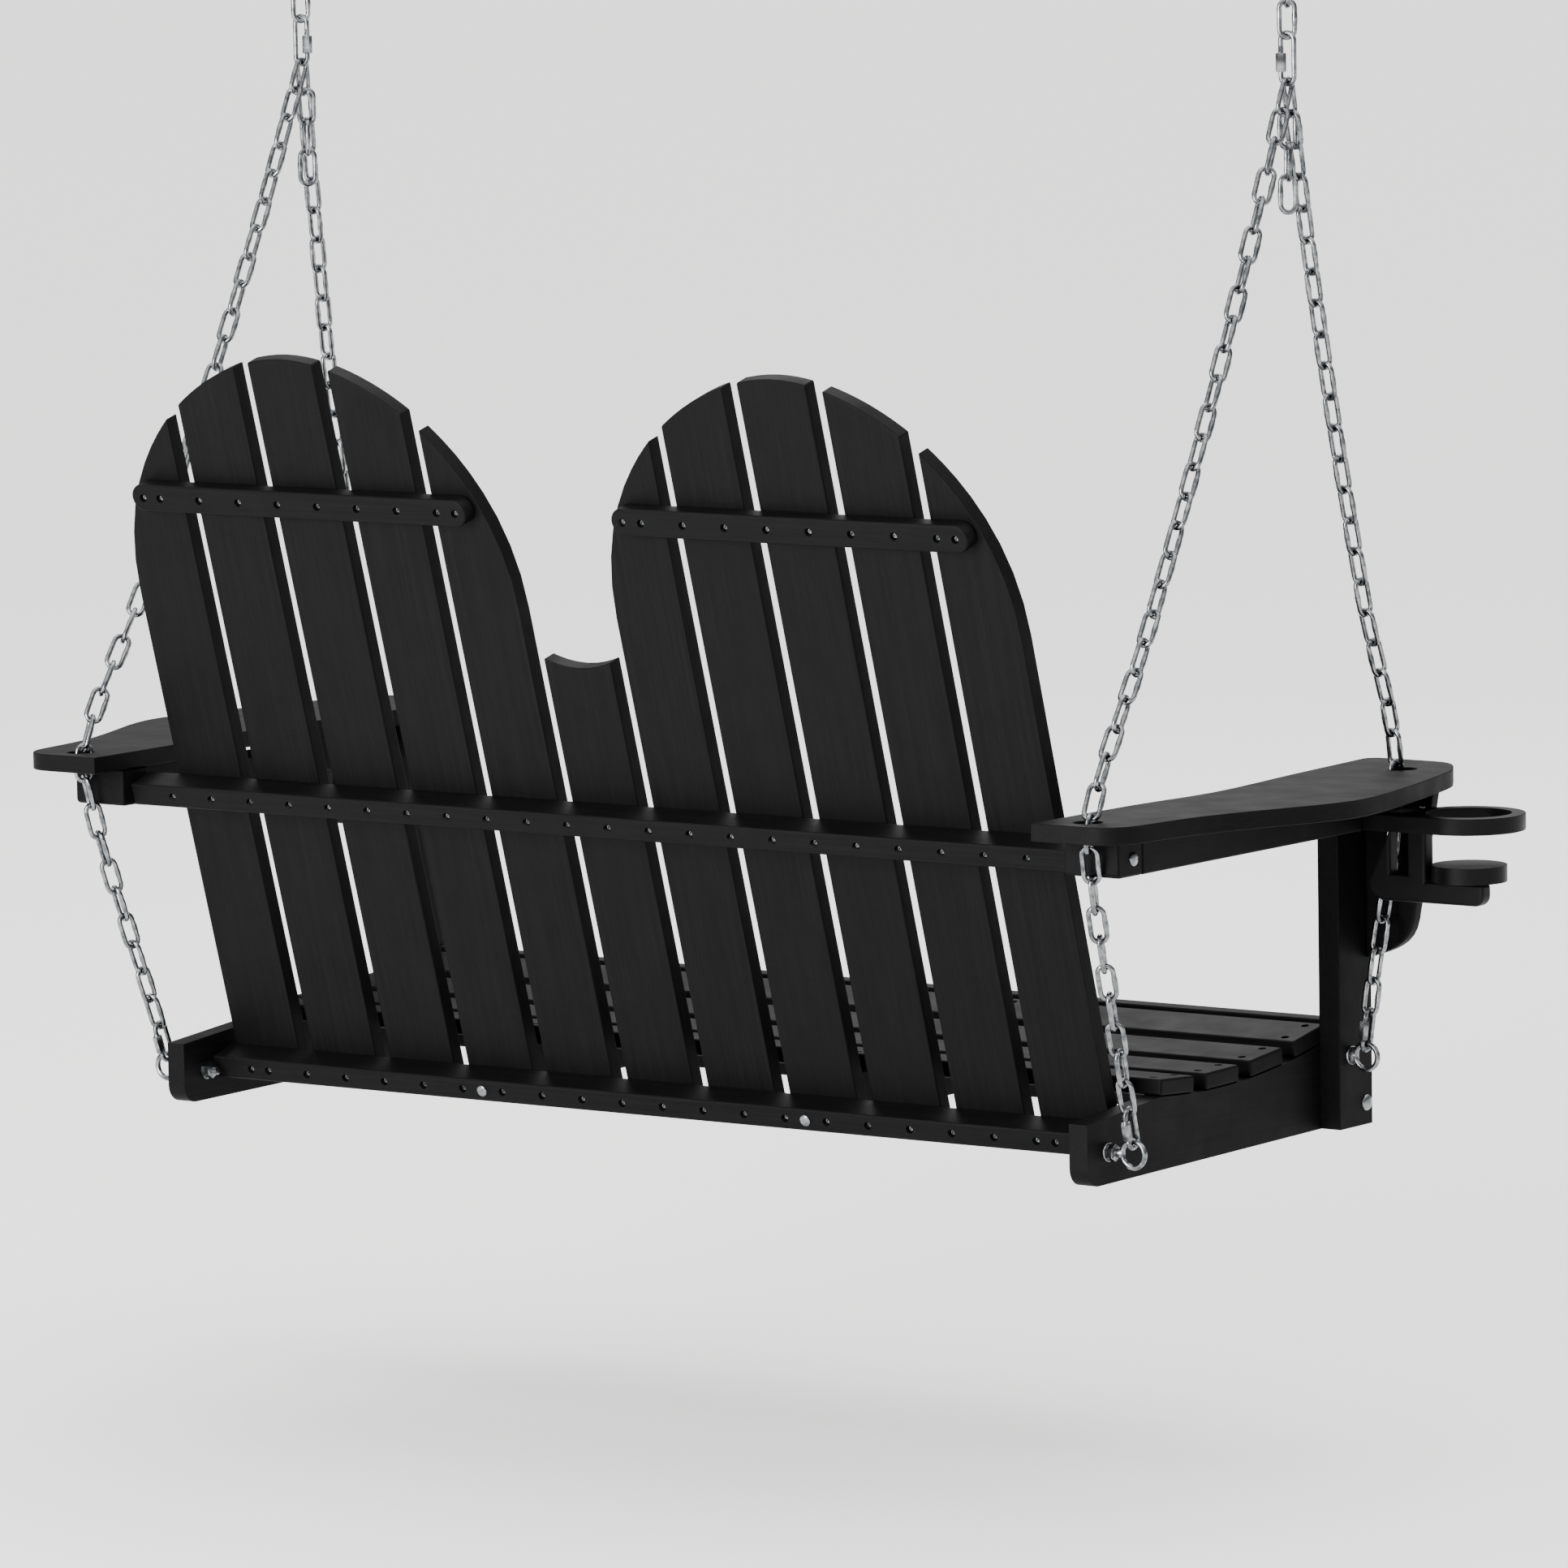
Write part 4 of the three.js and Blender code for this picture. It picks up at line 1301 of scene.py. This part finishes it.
@dataclass
class Suspension:
    """The chain legs, quick links, apex links, upper chains and ceiling eyes."""

    finishes: Finishes
    link: Wire = field(default_factory=lambda: Wire(45.0, 22.0, 5.5, weld_bulge=0.45))
    eye_link: QuickLink = field(default_factory=lambda: QuickLink(50.0))
    apex_link: QuickLink = field(default_factory=lambda: QuickLink(60.0))
    ring_radius: float = 14.0
    eye_wire: float = 6.0
    link_play: float = 1.2
    rear_sag: float = 15.0
    front_sag: float = 10.0
    rear_pass: tuple[float, float, float] = (672.8, 28.0, 48.0)
    block_pass: tuple[float, float, float] = (669.8, 22.5, -10.3)
    front_pass: tuple[float, float, float] = (700.8, -512.7, 48.0)
    tail_links: int = 3
    hook_radius: float = 14.0
    hook_wire: float = 8.0
    plate_side: float = 64.0
    plate_thick: float = 6.0
    plate_corner: float = 7.0

    def slack(self, start: Vector, end: Vector, sag: float) -> list[Vector]:
        """Gives three points of a chain that hangs a little slack.

        Args:
            start: The upper end.
            end: The lower end.
            sag: How far the middle hangs below a straight line, in millimetres.

        Returns:
            The points between the ends.
        """
        along = (end - start).normalized()
        down = Vector((0.0, 0.0, -1.0))
        across = (down - along * down.dot(along)).normalized()
        return [
            start.lerp(end, share) + across * (4.0 * sag * MM * share * (1.0 - share))
            for share in (0.25, 0.5, 0.75)
        ]

    def apex(self, side: Side) -> Vector:
        """Gives the middle of the wire that both legs of a side hang on.

        Args:
            side: The legs' side.

        Returns:
            The point on the wire's centre line.
        """
        low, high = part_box(f"apex_link_{side.tag}")
        middle = (low + high) / 2.0
        return Vector((middle.x, middle.y, low.z + self.link.thick / 2.0 * MM))

    def eye(self, node: str, side: Side) -> Vector:
        """Gives the top of an eye bolt's ring.

        Args:
            node: The bolt's node.
            side: Its side.

        Returns:
            The top of the ring's centre line.
        """
        low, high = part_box(node)
        tip = high.x if side is Side.LEFT else low.x
        reach = (self.ring_radius + self.eye_wire / 2.0) * MM
        middle = (low + high) / 2.0
        return Vector((tip - side.value * reach, middle.y, middle.z + self.ring_radius * MM))

    def link_frame(self, spot: Vector, along: Vector, roll: float) -> Matrix:
        """Stands a link at a place on the route.

        Args:
            spot: The link's middle.
            along: The route's direction there.
            roll: The link's turn about the route, where none leaves its face along X.

        Returns:
            The link's frame.
        """
        z_axis = -along
        face = Vector((1.0, 0.0, 0.0))
        x_axis = (face - z_axis * face.dot(z_axis)).normalized()
        y_axis = z_axis.cross(x_axis)
        basis = Matrix((x_axis, y_axis, z_axis)).transposed().to_4x4()
        return Matrix.Translation(spot) @ basis @ Matrix.Rotation(roll, 4, "Z")

    def run(self, route: ChainRoute, twist: float, closing: bool) -> list[Matrix]:
        """Sets links along a route, hooked on a wire at each end.

        Args:
            route: The route, from the upper wire's middle to the lower one's.
            twist: How far the middle links are turned, in radians.
            closing: Whether the last link has to stand square to the first.

        Returns:
            The links' frames from the top.
        """
        line = route.dense()
        total = sum((high - low).length for low, high in zip(line, line[1:])) / MM
        grip = self.link.long - self.link.thick
        natural = self.link.long - 2.0 * self.link.thick
        count = max(2, round((total + 2.0 * self.link.thick - grip) / natural) + 1)
        pitch = (total + 2.0 * self.link.thick - grip) / (count - 1)
        extra = math.radians(90.0) if closing and (count - 1) % 2 == 0 else 0.0
        frames = []
        for index in range(count):
            share = index / (count - 1)
            middle = (grip / 2.0 - self.link.thick + index * pitch) * MM
            spot, along = route.at(line, middle)
            hump = min(1.0, min(share, 1.0 - share) / 0.12)
            roll = math.radians(90.0) * (index % 2) + twist * hump + extra * share
            frames.append(self.link_frame(spot, along, roll))
        return frames

    def build_leg(self, end_name: str, side: Side) -> None:
        """Builds one chain leg with the quick link at its foot.

        Args:
            end_name: Either rear or front.
            side: The leg's side.
        """
        rear = end_name == "rear"
        top = self.apex(side)
        eye = self.eye(f"eye_bolt_{end_name}_{side.tag}", side)
        bends = [self.rear_pass, self.block_pass] if rear else [self.front_pass]
        held = [mirrored(place(*bend), side) for bend in bends]
        sag = self.rear_sag if rear else self.front_sag
        upward = (held[-1] - eye).normalized()
        hooked = self.eye_link.long / 2.0 - self.link.thick - self.eye_wire / 2.0 - self.link_play
        middle = eye + upward * (hooked * MM)
        upper_wire = middle + upward * ((self.eye_link.long - self.eye_link.wire) / 2.0 * MM)
        route = ChainRoute([top, *self.slack(top, held[0], sag), *held, upper_wire])
        near = side is Side.RIGHT
        twist = math.radians(40.0 if near and rear else -12.0)
        frames = self.run(route, twist, True)
        self.build_links(f"chain_leg_{end_name}_{side.tag}", frames, Body.SEAT)
        if not rear:
            self.build_tail(frames[0], side)
        node = f"quick_link_{end_name}_{side.tag}"
        frame = self.link_frame(middle, -upward, 0.0)

        def build(shape: bmesh.types.BMesh) -> None:
            """Adds the quick link's body and sleeve."""
            self.eye_link.add_body(shape, frame)
            self.eye_link.add_sleeve(shape, frame)

        made = as_piece(node + "_closed", closed_mesh(build), self.finishes.forged, Body.SEAT)
        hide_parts(node)

    def build_links(self, node: str, frames: Sequence[Matrix], body: Body) -> None:
        """Builds a run of links that stands for a chain node.

        Args:
            node: The chain's node.
            frames: The links' places.
            body: The body they move with.
        """

        def build(shape: bmesh.types.BMesh) -> None:
            """Adds the links."""
            for frame in frames:
                self.link.add(shape, frame)

        made = as_piece(node + "_links", closed_mesh(build), self.finishes.chain, body)
        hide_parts(node)

    def build_tail(self, top_link: Matrix, side: Side) -> None:
        """Hangs the spare links beside a front leg.

        Args:
            top_link: The leg's uppermost link.
            side: The leg's side.
        """
        grip = self.link.long - self.link.thick
        pitch = self.link.long - 2.0 * self.link.thick
        joint = top_link @ (Vector((0.0, 0.0, -grip / 2.0)) * MM)
        beside = Vector((-4.0 * side.value, 2.0, 0.0)) * MM
        down = Vector((0.0, 0.0, -1.0))
        frames = []
        for index in range(self.tail_links):
            drop = (grip / 2.0 - self.link.thick + index * pitch) * MM
            roll = math.radians(-45.0 + 90.0 * (index % 2))
            frames.append(self.link_frame(joint + beside + down * drop, down, roll))

        def build(shape: bmesh.types.BMesh) -> None:
            """Adds the spare links."""
            for frame in frames:
                self.link.add(shape, frame)

        name = f"chain_tail_{side.tag}"
        as_piece(name, closed_mesh(build), self.finishes.chain, Body.SEAT)

    def build_apex(self, side: Side) -> None:
        """Builds an apex quick link, its sleeve and the chain above it.

        Args:
            side: The side they hang on.
        """
        node = f"apex_link_{side.tag}"
        low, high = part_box(node)
        middle = (low + high) / 2.0
        middle.x = self.apex(side).x
        inner = Matrix.Rotation(math.radians(90.0 * side.value), 4, "Z")
        frame = Matrix.Translation(middle) @ inner
        sleeve_node = f"apex_sleeve_{side.tag}"
        sleeve_low, sleeve_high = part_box(sleeve_node)
        sleeve_frame = frame.copy()
        sleeve_frame.translation.z = (sleeve_low.z + sleeve_high.z) / 2.0

        def build_body(shape: bmesh.types.BMesh) -> None:
            """Adds the wire body."""
            self.apex_link.add_body(shape, frame)

        def build_sleeve(shape: bmesh.types.BMesh) -> None:
            """Adds the sleeve."""
            self.apex_link.add_sleeve(shape, sleeve_frame)

        forged = self.finishes.forged
        body = as_piece(node + "_body", closed_mesh(build_body), forged, Body.HANGERS)
        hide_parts(node)
        sleeve_body = Body.SLEEVE_LEFT if side is Side.LEFT else Body.SLEEVE_RIGHT
        turned_mesh = closed_mesh(build_sleeve)
        sleeve = as_piece(sleeve_node + "_hexagon", turned_mesh, forged, sleeve_body)
        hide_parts(sleeve_node)
        upper = Vector((middle.x, middle.y, high.z - self.link.thick / 2.0 * MM))
        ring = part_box(f"ceiling_hook_{side.tag}")[0]
        hang = Vector((middle.x, middle.y, ring.z + self.hook_wire / 2.0 * MM))
        frames = self.run(ChainRoute([hang, hang.lerp(upper, 0.5), upper]), 0.0, False)
        turned = [frame @ Matrix.Rotation(math.radians(45.0), 4, "Z") for frame in frames]
        self.build_links(f"upper_chain_{side.tag}", turned, Body.HANGERS)

    def build_ceiling_eye(self, side: Side) -> None:
        """Builds a ceiling eye on its plate.

        Args:
            side: The side it hangs on.
        """
        node = f"ceiling_hook_{side.tag}"
        low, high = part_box(node)
        middle = (low + high) / 2.0
        ring_up = low.z + (self.hook_radius + self.hook_wire / 2.0) * MM
        eye = Matrix.Translation(Vector((middle.x, middle.y, ring_up)))
        plate_up = Matrix.Translation(Vector((middle.x, middle.y, high.z - self.plate_thick * MM)))

        def build(shape: bmesh.types.BMesh) -> None:
            """Adds the ring, the stem and the plate.

            Args:
                shape: The mesh that they join.
            """
            steps = 40
            away = around(steps)
            centres = [self.hook_radius * direction for direction in away]
            upright = eye @ Matrix.Rotation(math.radians(90.0), 4, "X")
            radii = [self.hook_wire / 2.0] * steps
            sweep_loop(shape, centres, away, Vector((0.0, 0.0, 1.0)), radii, 14, upright)
            base = (high.z - ring_up) / MM - self.plate_thick
            stem = [
                (0.0, self.hook_radius - 2.0),
                (self.hook_wire * 0.45, self.hook_radius - 2.0),
                (self.hook_wire * 0.5, base - 3.0),
                (self.hook_wire * 0.8, base + 0.1),
                (0.0, base + 0.1),
            ]
            lathe(shape, stem, 24, eye)
            self.add_plate(shape, plate_up)
            for x in (-1.0, 1.0):
                for y in (-1.0, 1.0):
                    spot = Vector((x * 22.0, y * 22.0, 0.0)) * MM
                    under = plate_up @ Matrix.Translation(spot) @ Matrix.Rotation(math.pi, 4, "X")
                    ButtonBolt(4.6, 2.4).add(shape, under)

        made = as_piece(node + "_forged", closed_mesh(build), self.finishes.forged, Body.HOOKS)
        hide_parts(node)

    def add_plate(self, shape: bmesh.types.BMesh, frame: Matrix) -> None:
        """Adds the square plate with round corners.

        Args:
            shape: The mesh it joins.
            frame: The middle of its lower face.
        """
        half = self.plate_side / 2.0
        rows = []
        for height, inset in ((0.0, 1.2), (1.2, 0.0), (self.plate_thick, 0.0)):
            row = []
            for quarter in range(4):
                for step in range(7):
                    turn = math.radians(90.0 * (quarter + step / 6.0))
                    sign_x = 1.0 if quarter in (0, 3) else -1.0
                    sign_y = 1.0 if quarter in (0, 1) else -1.0
                    corner = half - self.plate_corner
                    radius = self.plate_corner - inset
                    x = sign_x * corner + radius * math.cos(turn)
                    y = sign_y * corner + radius * math.sin(turn)
                    row.append(shape.verts.new(frame @ (Vector((x, y, height)) * MM)))
            rows.append(row)
        for low, high in zip(rows, rows[1:]):
            for index in range(len(low)):
                after = (index + 1) % len(low)
                shape.faces.new((low[index], low[after], high[after], high[index]))
        shape.faces.new(rows[0])
        shape.faces.new(rows[-1])

    def build(self) -> None:
        """Builds the suspension on both sides."""
        for side in Side:
            self.build_leg("rear", side)
            self.build_leg("front", side)
            self.build_apex(side)
            self.build_ceiling_eye(side)


# ---- Studio -------------------------------------------------------------------------------


@dataclass
class Studio:
    """The pale floor, the soft lights and the camera."""

    azimuth: float = 216.0
    elevation: float = 6.73
    roll: float = -0.94
    distance: float = 11.462
    lens: float = 241.4
    seat_height: float = 440.0
    floor_half: float = 70.0
    floor_colour: str = "#f4f4f3"

    def build_camera(self) -> None:
        """Places the camera behind the swing, on the sitter's right."""
        data = bpy.data.cameras.new("camera")
        data.sensor_width = 36.0
        data.lens = self.lens
        data.clip_end = 300.0
        data.dof.use_dof = False
        camera = bpy.data.objects.new("camera", data)
        bpy.context.scene.collection.objects.link(camera)
        turn, rise, lean = (math.radians(v) for v in (self.azimuth, self.elevation, self.roll))
        back = Vector((math.sin(turn) * math.cos(rise), -math.cos(turn) * math.cos(rise), math.sin(rise)))
        level = Vector((math.cos(turn), math.sin(turn), 0.0))
        upright = back.cross(level)
        right = level * math.cos(lean) + upright * math.sin(lean)
        up = upright * math.cos(lean) - level * math.sin(lean)
        aim = place(-58.0, -281.4, 20.2)
        pose = Matrix((right, up, back)).transposed().to_4x4()
        camera.matrix_world = Matrix.Translation(aim + back * self.distance) @ pose
        bpy.context.scene.camera = camera

    def build_floor(self) -> None:
        """Lays a wide matt floor under the hanging swing."""
        seat_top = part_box("seat_slat_2")[1].z
        level = seat_top - self.seat_height * MM
        half = self.floor_half
        mesh = bpy.data.meshes.new("studio_floor")
        corners = [(-half, -half, level), (half, -half, level), (half, half, level), (-half, half, level)]
        mesh.from_pydata(corners, [], [(0, 1, 2, 3)])
        made, tree = blank("plaster_floor_trowelled")
        spot = put(tree, "ShaderNodeTexCoord").outputs["Object"]
        cloud = put(tree, "ShaderNodeTexNoise", {"Vector": spot, "Scale": 1.5, "Detail": 3.0})
        shine = put(
            tree,
            "ShaderNodeMapRange",
            {"Value": cloud.outputs["Fac"], "To Min": 0.85, "To Max": 0.95},
        )
        surface = put(
            tree,
            "ShaderNodeBsdfPrincipled",
            {"Base Color": linear(self.floor_colour), "Roughness": shine.outputs["Result"]},
        )
        surface.inputs["Specular IOR Level"].default_value = 0.1
        put(tree, "ShaderNodeOutputMaterial", {"Surface": surface.outputs["BSDF"]})
        mesh.materials.append(made)
        floor = bpy.data.objects.new("studio_floor", mesh)
        bpy.context.scene.collection.objects.link(floor)

    def build_light(self) -> None:
        """Hangs a soft sky and one large soft lamp high behind the swing."""
        world = bpy.data.worlds.new("soft_sky")
        world.use_nodes = True
        tree = world.node_tree
        tree.nodes.clear()
        spot = put(tree, "ShaderNodeTexCoord").outputs["Generated"]
        parts = put(tree, "ShaderNodeSeparateXYZ", {"Vector": spot})
        ramp = put(tree, "ShaderNodeValToRGB", {"Fac": parts.outputs["Z"]})
        ramp.color_ramp.elements[0].color = linear("#5c5c5c")
        ramp.color_ramp.elements[0].position = 0.3
        ramp.color_ramp.elements[1].color = linear("#ffffff")
        ramp.color_ramp.elements[1].position = 0.9
        sky = put(tree, "ShaderNodeBackground", {"Color": ramp.outputs["Color"], "Strength": 3.2})
        put(tree, "ShaderNodeOutputWorld", {"Surface": sky.outputs["Background"]})
        bpy.context.scene.world = world
        self.add_lamp("rear_lamp", place(600.0, 6200.0, 1500.0), 3.5, 900.0)
        self.add_lamp("front_lamp", place(2500.0, -4500.0, 4200.0), 3.0, 120.0)

    def add_lamp(self, name: str, spot: Vector, side: float, power: float) -> None:
        """Adds a square soft lamp aimed at the seat.

        Args:
            name: The lamp's name.
            spot: Where it hangs.
            side: Its side in metres.
            power: Its power in watts.
        """
        data = bpy.data.lights.new(name, "AREA")
        data.size = side
        data.energy = power
        lamp = bpy.data.objects.new(name, data)
        bpy.context.scene.collection.objects.link(lamp)
        lamp.matrix_world = facing(spot, spot - place(0.0, -250.0, 0.0))

    def build(self) -> None:
        """Builds the floor and the lights."""
        self.build_floor()
        self.build_light()


def corners(box: tuple[Vector, Vector]) -> list[list[float]]:
    """Turns a box into plain lists of numbers."""
    return [list(corner) for corner in box]


def main() -> None:
    """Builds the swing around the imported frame."""
    logging.basicConfig(level=logging.INFO, format="%(name)s: %(message)s")
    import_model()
    studio = Studio()
    studio.build_camera()
    finishes = Finishes()
    for assembly in (
        BackPanel(finishes),
        SeatDeck(finishes),
        UnderFrame(finishes),
        Arms(finishes),
        DrinkHolders(finishes),
        EyeBolts(finishes),
        Suspension(finishes),
    ):
        LOG.info("building %s", type(assembly).__name__)
        assembly.build()
    studio.build()


if __name__ == "__main__":
    main()
